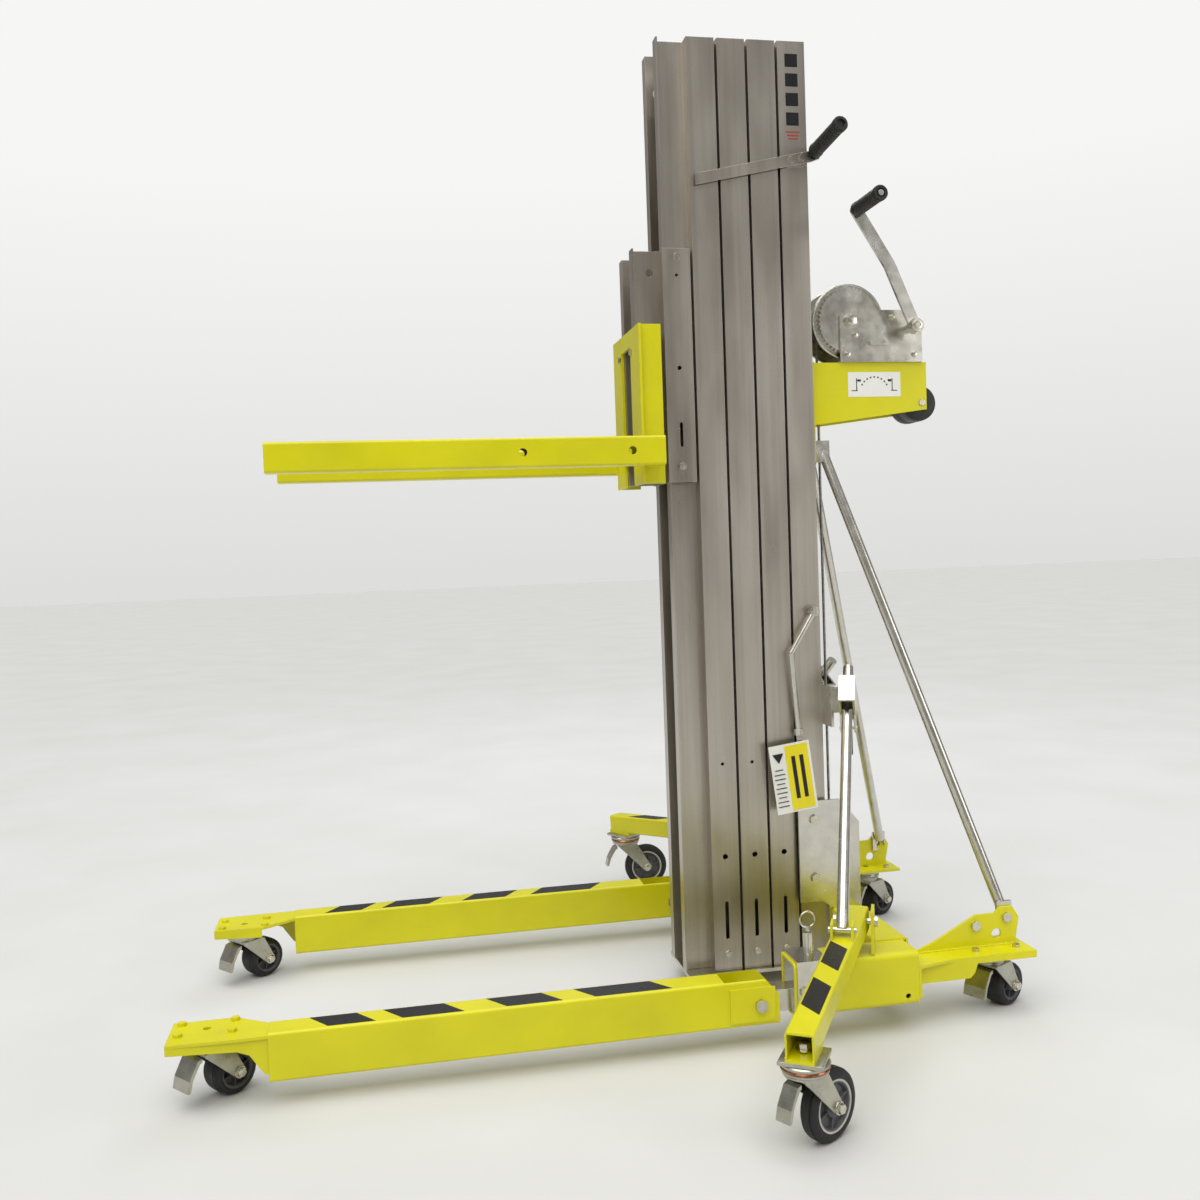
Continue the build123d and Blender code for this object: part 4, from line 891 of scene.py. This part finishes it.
@dataclass
class Winch:
    """The hand winch's drum faces, wound rope, axle nut, rivets and its printed card."""

    lip: float = 2.2 * MM
    lip_steps: int = 12
    flange_face: float = 33.0 * MM
    bead_share: float = 0.76
    rope_radius: float = 2.5 * MM
    rope_turns: int = 12
    roll_radius: float = 47.5 * MM
    strand_steps: int = 10
    roll_steps: int = 96
    crank_face: float = 84.0 * MM
    shaft_end: float = 9.8 * MM
    bracket_face: float = 40.0 * MM
    card_length: float = 105.0 * MM
    card_height: float = 46.0 * MM
    card_lift: float = 0.3 * MM
    card_shift: tuple[float, float] = (12.0 * MM, 18.0 * MM)
    arc_dots: int = 9
    axle_bolt: Bolt = Bolt(Washer(13.5 * MM, 13.9 * MM, 1.0 * MM, 13.5 * MM, 1.8 * MM),
                           19.0 * MM, 5.5 * MM)
    cheek_bolt: Bolt = Bolt(Washer(6.2 * MM, 6.4 * MM, 0.8 * MM, 6.0 * MM, 1.4 * MM, 28),
                            8.0 * MM, 3.5 * MM)
    crank_washer: Washer = Washer(15.2 * MM, 15.6 * MM, 1.0 * MM, 15.2 * MM, 2.0 * MM)

    def build(self) -> None:
        """Build every piece of the winch."""
        low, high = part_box("winch_drum")
        centre = joint_place("drum_turn")
        self.flanges(centre, (high.x - low.x) / 2)
        self.rope(centre)
        self.nuts(centre)
        self.crank_nut()
        self.card()
        self.roller()

    def flanges(self, centre: Vector, radius: float) -> None:
        """Turn the rolled rims and pressed beads that stiffen the drum's flanges.

        Args:
            centre: Middle of the drum.
            radius: Radius of its flanges.
        """
        axis = Vector(Turn.ACROSS.value)
        angles = [FULL_TURN * step / self.lip_steps for step in range(self.lip_steps + 1)]
        bm = bmesh.new()
        for sign in (1, -1):
            for where, size in ((radius - self.lip, self.lip),
                                (radius * self.bead_share, self.lip * 0.6)):
                outline = [(where + size * math.cos(a),
                            sign * (self.flange_face - MM + size * 0.9 * math.sin(a)))
                           for a in angles]
                turned(bm, outline, centre, axis)
        finished("drum_flange_beads", bm, ZINC, "winch_drum")

    def rope(self, centre: Vector) -> None:
        """Turn the wound rope's turns side by side over the CAD drum's roll.

        The rope's own strands are too fine to show here, so each turn is a plain round one.

        Args:
            centre: Middle of the drum.
        """
        axis = Vector(Turn.ACROSS.value)
        radius = self.rope_radius
        angles = [FULL_TURN * step / self.strand_steps for step in range(self.strand_steps + 1)]
        bm = bmesh.new()
        for number in range(self.rope_turns):
            at = (number - (self.rope_turns - 1) / 2) * 2 * radius
            outline = [(self.roll_radius + radius * math.cos(a), at + radius * math.sin(a))
                       for a in angles]
            turned(bm, outline, centre, axis, self.roll_steps)
        finished("wound_rope", bm, ROPE, "winch_drum")

    def nuts(self, centre: Vector) -> None:
        """Build the drum axle's nuts, the cheeks' small bolts and their washers.

        Args:
            centre: Middle of the drum.
        """
        low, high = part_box("winch_side_plates")
        spots = ((low.x + 16 * MM, low.z + 14 * MM), (high.x - 14 * MM, low.z + 14 * MM),
                 (high.x - 30 * MM, low.z + 50 * MM), (low.x + 60 * MM, high.z - 14 * MM))
        bm = bmesh.new()
        for sign in (1, -1):
            out = Vector((0, sign, 0))
            self.axle_bolt.add(bm, Vector((centre.x, sign * high.y, centre.z)), out)
            for x, z in spots:
                self.cheek_bolt.add(bm, Vector((x, sign * high.y, z)), out)
        finished("winch_bolts", bm, BOLT, "base")

    def crank_nut(self) -> None:
        """Build the washer and the domed collar over the crank's shaft end."""
        shaft = joint_place("crank_turn")
        out = Vector(Turn.ACROSS.value)
        at = Vector((shaft.x, self.crank_face, shaft.z))
        end = self.shaft_end
        collar = [(0.0, end), (8.5 * MM, end), (9.0 * MM, end + 0.6 * MM),
                  (8.2 * MM, end + 1.8 * MM), (5.5 * MM, end + 2.0 * MM),
                  (5.0 * MM, end + 0.8 * MM), (0.0, end + 0.8 * MM)]
        bm = bmesh.new()
        self.crank_washer.add(bm, at, out)
        turned(bm, collar, at, out, DISC_STEPS)
        finished("crank_nut_collar", bm, BOLT, "crank")

    def card(self) -> None:
        """Build the printed card on the bracket's near side: a plain arc between two posts."""
        low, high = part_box("winch_bracket")
        back, down = self.card_shift
        middle = Vector(((low.x + high.x) / 2 - back, self.bracket_face + self.card_lift / 2,
                         high.z - down - self.card_height / 2))
        along, up = Vector((1, 0, 0)), Vector((0, 0, 1))
        bm = bmesh.new()
        slab(bm, middle, along, up, (self.card_length, self.card_height, self.card_lift))
        finished("winch_card", bm, WHITE_CARD, "base")
        bm = bmesh.new()
        front = middle + Vector((0, self.card_lift, 0))
        for side in (-1, 1):
            post = front + along * side * self.card_length * 0.34
            slab(bm, post, along, up, (1.6 * MM, self.card_height * 0.5, self.card_lift))
            slab(bm, post - up * self.card_height * 0.25 + along * side * 4 * MM, along, up,
                 (12.0 * MM, 1.4 * MM, self.card_lift))
            slab(bm, post + up * self.card_height * 0.16 - along * side * 5 * MM, along, up,
                 (7.0 * MM, 4.0 * MM, self.card_lift))
        for number in range(self.arc_dots):
            angle = math.radians(30 + 120 * number / (self.arc_dots - 1))
            spoke = along * math.cos(angle) + up * math.sin(angle)
            at = front - up * self.card_height * 0.32 + spoke * self.card_height * 0.62
            slab(bm, at, along, up, (2.8 * MM, 2.8 * MM, self.card_lift))
        finished("winch_card_print", bm, FILM, "base")

    def roller(self) -> None:
        """Turn the loading roller with rounded shoulders and recessed ends."""
        low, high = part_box("transport_roller")
        centre = (low + high) / 2
        r, half = (high.z - low.z) / 2, (high.y - low.y) / 2
        side = [(6.3 * MM, half * 0.8), (r * 0.36, half * 0.8), (r * 0.4, half * 0.97),
                (r * 0.8, half), (r * 0.93, half * 0.96), (r * 0.985, half * 0.86),
                (r, half * 0.7), (r, half * 0.24), (r * 0.985, half * 0.2), (r * 0.985, 0.0)]
        bm = bmesh.new()
        turned(bm, side + [(a, -b) for a, b in reversed(side)] + [side[0]], centre,
               Vector(Turn.ACROSS.value))
        finished("roller_tyre", bm, ROLLER, "transport_roller", ["transport_roller"])


@dataclass
class Decals:
    """Black slanted bars on the legs and outriggers, and plain bars on the mast."""

    film: float = 0.3 * MM
    leg_bars: tuple[tuple[float, float], ...] = ((0.074, 0.146), (0.187, 0.282), (0.349, 0.438),
                                                 (0.491, 0.617))
    leg_slant: float = 30.0 * MM
    leg_bar_width: float = 40.0 * MM
    leg_tube_front: float = 149.0 * MM
    leg_top: float = 115.2 * MM
    leg_middle: float = 289.6 * MM
    arm_bars: tuple[tuple[float, float], ...] = ((0.34, 0.52), (0.64, 0.84))
    arm_slant: float = 26.0 * MM
    arm_bar_width: float = 31.0 * MM
    arm_half: float = 20.0 * MM
    arm_past_kingpin: float = 30.0 * MM
    arm_fall: float = 0.0315 / 0.44714
    block_size: tuple[float, float] = (24.0 * MM, 23.5 * MM)
    block_tops: tuple[float, ...] = (0.020, 0.055, 0.090, 0.125)
    block_middle: float = 14.5 * MM
    track_face: float = 60.0 * MM
    track_middle: float = 26.0 * MM
    red_lines: int = 3

    def build(self) -> None:
        """Build the bars of both legs, both outriggers and the mast."""
        for side, sign in SIDES.items():
            self.leg(side, sign)
            self.arm(side)
        self.mast()

    def slanted(self, bm: bmesh.types.BMesh, middle: Vector, along: Vector, across: Vector,
                size: tuple[float, float], slant: float) -> None:
        """Add one slanted bar: a thin box whose ends lean along its length.

        Args:
            bm: The mesh that gets the bar.
            middle: Centre of the bar.
            along: Direction of its length.
            across: Direction of its width.
            size: Length and width.
            slant: How far one long edge is ahead of the other.
        """
        before = set(bm.verts)
        slab(bm, middle, along, across, (*size, self.film))
        for vert in set(bm.verts) - before:
            vert.co += along * slant * (vert.co - middle).dot(across) / size[1]

    def leg(self, side: str, sign: int) -> None:
        """Lay the bars along a leg's top, counted back from the tube's front end.

        Args:
            side: Which leg.
            sign: One on the left, minus one on the right.
        """
        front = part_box(f"front_leg_{side}")[1].x - self.leg_tube_front
        along, across = Vector((1, 0, 0)), Vector((0, 1, 0))
        bm = bmesh.new()
        for start, end in self.leg_bars:
            middle = Vector((front - (start + end) / 2, sign * self.leg_middle,
                             self.leg_top + self.film / 2))
            self.slanted(bm, middle, along, across, (end - start, self.leg_bar_width),
                         -self.leg_slant * sign)
        finished(f"leg_bars_{side}", bm, FILM, f"front_leg_{side}")

    def arm(self, side: str) -> None:
        """Lay the bars on an outrigger tube's top face.

        Args:
            side: Which outrigger.
        """
        hinge = joint_place(f"outrigger_{side}_fold")
        king = joint_place(f"swivel_outrigger_{side}")
        level = Vector((king.x - hinge.x, king.y - hinge.y, 0))
        ahead = level.normalized()
        along = Vector((ahead.x, ahead.y, -self.arm_fall)).normalized()
        across = Vector((0, 0, 1)).cross(along).normalized()
        up = along.cross(across)
        if up.z < 0:
            up = -up
        reach = level.length + self.arm_past_kingpin
        bm = bmesh.new()
        for start, end in self.arm_bars:
            middle = (hinge + along * reach * (start + end) / 2
                      + up * (self.arm_half + self.film / 2))
            self.slanted(bm, middle, along, across, (reach * (end - start), self.arm_bar_width),
                         self.arm_slant)
        finished(f"outrigger_bars_{side}", bm, FILM, f"outrigger_{side}")

    def mast(self) -> None:
        """Stack plain blocks near the top of the rear section's side, over thin red lines."""
        low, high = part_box("mast_section_4")
        x, y = low.x + self.track_middle, self.track_face + self.film / 2
        along, up = Vector((1, 0, 0)), Vector((0, 0, 1))
        bm = bmesh.new()
        for top in self.block_tops:
            slab(bm, Vector((x, y, high.z - top - self.block_middle)), along, up,
                 (*self.block_size, self.film))
        finished("mast_blocks", bm, FILM, "base")
        bm = bmesh.new()
        for row in range(self.red_lines):
            slab(bm, Vector((x, y, high.z - 0.163 - row * 6 * MM)), along, up,
                 ((26 - 4 * row) * MM, 2.8 * MM, self.film))
        finished("mast_red_lines", bm, RED_PRINT, "base")


@dataclass
class HoldDownTag:
    """The card that hangs on the hold-down rod: a yellow head over plain printed rows."""

    width: float = 79.0 * MM
    height: float = 128.0 * MM
    thick: float = 0.8 * MM
    print_lift: float = 0.4 * MM
    hang: float = 46.0 * MM
    lean: float = math.radians(7)
    triangle: float = 12.0 * MM
    rows: int = 9
    row_pitch: float = 8.5 * MM
    bars: int = 2

    def build(self) -> None:
        """Build the card, its yellow head, the warning triangle and the rows."""
        low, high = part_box("hold_down_rod")
        up = Vector((math.sin(self.lean), 0, math.cos(self.lean)))
        along = Vector((math.cos(self.lean), 0, -math.sin(self.lean)))
        out = Vector((0, 1, 0))
        middle = Vector((high.x, high.y - MM, low.z - self.hang))
        bm = bmesh.new()
        slab(bm, middle, along, up, (self.width, self.height, self.thick))
        finished("tag_card", bm, WHITE_CARD, "hold_down_rod")
        bm = bmesh.new()
        head = middle + out * self.thick + along * -self.width * 0.16
        slab(bm, head, along, up, (self.width * 0.56, self.height * 0.94, self.print_lift))
        finished("tag_yellow_panel", bm, YELLOW_CARD, "hold_down_rod")
        bm = bmesh.new()
        face = middle + out * self.thick * 1.5
        turn = Matrix.Rotation(self.lean, 4, "Y") @ Matrix.Rotation(-math.pi / 2, 4, "X")
        at = face + up * self.height * 0.33 + along * self.width * 0.3
        bmesh.ops.create_cone(bm, cap_ends=True, segments=3, radius1=self.triangle,
                              radius2=self.triangle, depth=0.5 * MM,
                              matrix=Matrix.Translation(at) @ turn)
        for row in range(self.rows):
            slab(bm, face - up * (row * self.row_pitch - 18 * MM) + along * self.width * 0.32,
                 along, up, (self.width * (0.26 if row % 3 else 0.2), 1.6 * MM, self.print_lift))
        for bar in range(self.bars):
            slab(bm, face - along * self.width * (0.06 + 0.2 * bar), along, up,
                 (7.5 * MM, self.height * 0.62, self.print_lift))
        finished("tag_print", bm, FILM, "hold_down_rod")


@dataclass
class WeldBeads:
    """Painted fillet welds where plates meet tubes."""

    size: float = 3.4 * MM
    pitch: float = 4.5 * MM
    stretch: float = 0.85

    def run(self, name: str, start: Vector, end: Vector, body: str) -> None:
        """Lay one bead of overlapping drops.

        Args:
            name: The piece's name.
            start: Where the bead begins.
            end: Where it stops.
            body: The CAD body it moves with.
        """
        line = end - start
        drops = max(2, int(line.length / self.pitch))
        facing = Vector((1, 0, 0)).rotation_difference(line.normalized()).to_matrix().to_4x4()
        shape = Matrix.Diagonal((self.stretch, 1.0, 1.0, 1.0))
        bm = bmesh.new()
        for number in range(drops + 1):
            place = Matrix.Translation(start + line * number / drops) @ facing
            bmesh.ops.create_uvsphere(bm, u_segments=8, v_segments=5, radius=self.size,
                                      matrix=place @ shape)
        finished(name, bm, YELLOW, body)


@dataclass
class SmallHardware:
    """Bolts, nuts, zinc plates and welds that finish the frame's joints."""

    plate_size: tuple[float, float, float] = (64.2 * MM, 62.0 * MM, 5.6 * MM)
    plate_round: float = 0.8 * MM
    plate_middle: float = 132.5 * MM
    tube_floor: float = 142.5 * MM
    king_nut: Bolt = Bolt(Washer(11.8 * MM, 12.0 * MM, 1.0 * MM, 11.6 * MM, 1.8 * MM),
                          17.0 * MM, 9.5 * MM)
    stop_flats: float = 11.0 * MM
    stop_height: float = 2.2 * MM
    stop_level: float = 70.0 * MM
    track_face: float = 61.6 * MM
    track_middle: float = 26.0 * MM
    gusset_face: float = 267.4 * MM
    gusset_foot: float = 112.2 * MM
    gusset_ends: tuple[float, float] = (-688.0 * MM, -502.0 * MM)
    fork_levels: tuple[float, float] = (972.0 * MM, 1019.0 * MM)

    def build(self) -> None:
        """Build the pieces of both outriggers, the moving sections and the welds."""
        for side in SIDES:
            self.caster_seat(side)
        for number in (1, 2, 3):
            self.stop_bolt(f"mast_section_{number}")
        self.welds()

    def caster_seat(self, side: str) -> None:
        """Build the zinc plate under an outrigger's end and the kingpin's nut inside it.

        Args:
            side: Which outrigger.
        """
        hinge = joint_place(f"outrigger_{side}_fold")
        king = joint_place(f"swivel_outrigger_{side}")
        along = Vector((king.x - hinge.x, king.y - hinge.y, 0)).normalized()
        across = Vector((-along.y, along.x, 0))
        bm = bmesh.new()
        slab(bm, Vector((king.x, king.y, self.plate_middle)), along, across, self.plate_size,
             self.plate_round)
        finished(f"outrigger_plate_{side}", bm, CASTER_ZINC, f"outrigger_{side}")
        bm = bmesh.new()
        self.king_nut.add(bm, Vector((king.x, king.y, self.tube_floor)),
                          Vector(Turn.UPRIGHT.value))
        finished(f"kingpin_nut_{side}", bm, BOLT, f"outrigger_{side}")

    def stop_bolt(self, node: str) -> None:
        """Build the low stop bolts of one moving section, one a side.

        Args:
            node: The section's CAD node.
        """
        low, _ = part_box(node)
        bm = bmesh.new()
        for sign in (1, -1):
            out = Vector((0, sign, 0))
            face = Vector((low.x + self.track_middle, sign * self.track_face, self.stop_level))
            hex_head(bm, face, out, self.stop_flats, self.stop_height)
        finished(f"{node}_stop_bolts", bm, BOLT, node)

    def welds(self) -> None:
        """Lay the painted welds of the rear gussets and of the forks' roots."""
        beads = WeldBeads()
        first, last = self.gusset_ends
        frame_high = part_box("fork_frame")[1]
        under, over = self.fork_levels
        for side, sign in SIDES.items():
            y = sign * self.gusset_face
            beads.run(f"gusset_weld_{side}", Vector((first, y, self.gusset_foot)),
                      Vector((last, y, self.gusset_foot)), "base")
            x, y = frame_high.x, sign * frame_high.y
            beads.run(f"fork_weld_{side}", Vector((x, y, under)), Vector((x, y, over)),
                      "carriage")


@dataclass
class Sheave:
    """A grooved rope wheel with a hub boss and lightening dish."""

    node: str
    body: str

    def build(self) -> None:
        """Turn the wheel inside the CAD sheave's box."""
        low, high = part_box(self.node)
        centre = (low + high) / 2
        r, half = (high.z - low.z) / 2, (high.y - low.y) / 2
        side = [(r * 0.25, half), (r * 0.42, half), (r * 0.46, half * 0.7),
                (r * 0.72, half * 0.7), (r * 0.78, half), (r * 0.97, half), (r, half * 0.9),
                (r * 0.98, half * 0.72), (r * 0.88, half * 0.36), (r * 0.865, 0.0)]
        bm = bmesh.new()
        turned(bm, side + [(a, -b) for a, b in reversed(side[:-1])] + [side[0]], centre,
               Vector(Turn.ACROSS.value))
        finished(f"{self.node}_wheel", bm, NYLON, self.body, [self.node])


class LampKind(Enum):
    """The kinds of lamp in the studio, by Blender's names."""

    SUN = "SUN"
    AREA = "AREA"


@dataclass(frozen=True)
class Lamp:
    """One lamp: its place, how wide it spreads (an angle or a side), its power and its tone."""

    name: str
    kind: LampKind
    place: tuple[float, float, float]
    spread: float
    power: float
    tone: str


LAMPS = (Lamp("ceiling_light", LampKind.SUN, (0.5, 0.8, 3.2), math.radians(70), 2.5, "#FFFFFF"),
         Lamp("key_light", LampKind.AREA, (1.6, 2.2, 2.6), 1.8, 10.0, "#FFF8EE"),
         Lamp("fill_light", LampKind.AREA, (-2.6, 2.2, 1.5), 1.4, 16.0, "#FFFFFF"),
         Lamp("rim_light", LampKind.AREA, (-0.9, -2.6, 3.2), 2.0, 24.0, "#F4F7FF"))


@dataclass
class Studio:
    """Floor, soft lights and the camera."""

    floor_size: float = 26.0
    heading: float = -0.188
    pitch: float = -0.0444
    roll: float = -0.0362
    lens: float = 34.75
    sensor: float = 36.0
    stand: tuple[float, float, float] = (0.3744, 2.1013, 0.8286)
    target: tuple[float, float, float] = (0.0, 0.0, 0.75)
    far_clip: float = 90.0
    sky: float = 0.42
    sky_low: str = "#B9B6B0"
    sky_high: str = "#FFFFFF"
    backdrop: str = "#F6F6F4"
    # Painted shade: the backdrop's colour at the horizon, darker to match the dimly lit far floor
    horizon_painted_shade: str = "#DEDEDC"

    def build(self) -> None:
        """Set up everything that isn't part of the lift."""
        self.camera()
        self.floor()
        self.lights()
        self.world()
        bpy.context.scene.view_settings.view_transform = "Standard"

    def camera(self) -> None:
        """Aim a level-headed camera from beside the crank."""
        data = bpy.data.cameras.new("studio_camera")
        data.lens, data.sensor_width = self.lens, self.sensor
        data.clip_end = self.far_clip
        made = bpy.data.objects.new("studio_camera", data)
        level = math.cos(self.pitch)
        ahead = Vector((math.sin(self.heading) * level, -math.cos(self.heading) * level,
                        math.sin(self.pitch)))
        right = ahead.cross(Vector((0, 0, 1))).normalized()
        up = right.cross(ahead)
        tilted = right * math.cos(self.roll) + up * math.sin(self.roll)
        crown = up * math.cos(self.roll) - right * math.sin(self.roll)
        turn = Matrix((tilted, crown, -ahead)).transposed().to_4x4()
        made.matrix_world = Matrix.Translation(Vector(self.stand)) @ turn
        bpy.context.scene.collection.objects.link(made)
        bpy.context.scene.camera = made

    def floor(self) -> None:
        """Lay the floor under the wheels."""
        bm = bmesh.new()
        bmesh.ops.create_grid(bm, x_segments=4, y_segments=4, size=self.floor_size)
        mesh = bpy.data.meshes.new("studio_floor")
        bm.to_mesh(mesh)
        bm.free()
        mesh.materials.append(PAPER.material())
        made = bpy.data.objects.new("studio_floor", mesh)
        bpy.context.scene.collection.objects.link(made)

    def lights(self) -> None:
        """Hang every lamp, turned to the middle of the lift."""
        target = Vector(self.target)
        for lamp in LAMPS:
            data = bpy.data.lights.new(lamp.name, lamp.kind.value)
            data.energy, data.color = lamp.power, linear(lamp.tone)[:3]
            if lamp.kind is LampKind.SUN:
                data.angle = lamp.spread
            else:
                data.shape, data.size = "SQUARE", lamp.spread
            made = bpy.data.objects.new(lamp.name, data)
            turn = (target - Vector(lamp.place)).to_track_quat("-Z", "Y").to_matrix().to_4x4()
            made.matrix_world = Matrix.Translation(lamp.place) @ turn
            bpy.context.scene.collection.objects.link(made)

    def world(self) -> None:
        """Wrap the studio in pale paper that lights the lift less than it shows."""
        world = bpy.data.worlds.new("studio_world")
        bpy.context.scene.world = world
        world.use_nodes = True
        tree = world.node_tree
        tree.nodes.clear()
        where = add_node(tree, "ShaderNodeTexCoord")
        split = add_node(tree, "ShaderNodeSeparateXYZ", inputs={
            "Vector": where.outputs["Generated"]})
        height = add_node(tree, "ShaderNodeMapRange", inputs={
            "Value": split.outputs["Z"], "From Min": -0.1, "From Max": 0.7})
        shade = add_node(tree, "ShaderNodeMix", {"data_type": "RGBA"}, {
            0: height.outputs["Result"], 6: linear(self.sky_low), 7: linear(self.sky_high)})
        soft = add_node(tree, "ShaderNodeBackground", inputs={
            "Color": shade.outputs[2], "Strength": self.sky})
        # Painted shade: the backdrop that the camera sees runs from the darker horizon colour, which matches the
        # dimly lit far floor, up to the pale backdrop
        painted_shade_fade = add_node(tree, "ShaderNodeMapRange", inputs={
            "Value": split.outputs["Z"], "From Min": -0.02, "From Max": 0.3})
        paper = add_node(tree, "ShaderNodeMix", {"data_type": "RGBA"}, {
            0: painted_shade_fade.outputs["Result"], 6: linear(self.horizon_painted_shade), 7: linear(self.backdrop)})
        seen = add_node(tree, "ShaderNodeBackground", inputs={
            "Color": paper.outputs[2], "Strength": 1.0})
        ray = add_node(tree, "ShaderNodeLightPath")
        mixed = add_node(tree, "ShaderNodeMixShader", inputs={
            0: ray.outputs["Is Camera Ray"], 1: soft.outputs["Background"],
            2: seen.outputs["Background"]})
        add_node(tree, "ShaderNodeOutputWorld", inputs={"Surface": mixed.outputs["Shader"]})


def main() -> None:
    """Build the studio and every sub-assembly in order."""
    logging.basicConfig(level=logging.INFO, format="%(name)s: %(message)s")
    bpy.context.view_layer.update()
    Studio().build()
    CadDressing(frame["record"]).dress()
    for side in SIDES:
        for place in ("front", "rear", "outrigger"):
            name = f"{place}_{side}"
            large = place == "outrigger"
            CasterWheel(name, large).build()
            SwivelHead(name, large).build()
    HandGrip("crank_grip_sleeve", "crank_grip", "crank_grip").build()
    HandGrip("upper_grip_sleeve", "upper_grip", "base", rings=10).build()
    Winch().build()
    Sheave("lift_sheave", "lift_sheave").build()
    Sheave("foot_sheave", "foot_sheave").build()
    Decals().build()
    HoldDownTag().build()
    SmallHardware().build()


if __name__ == "__main__":
    main()
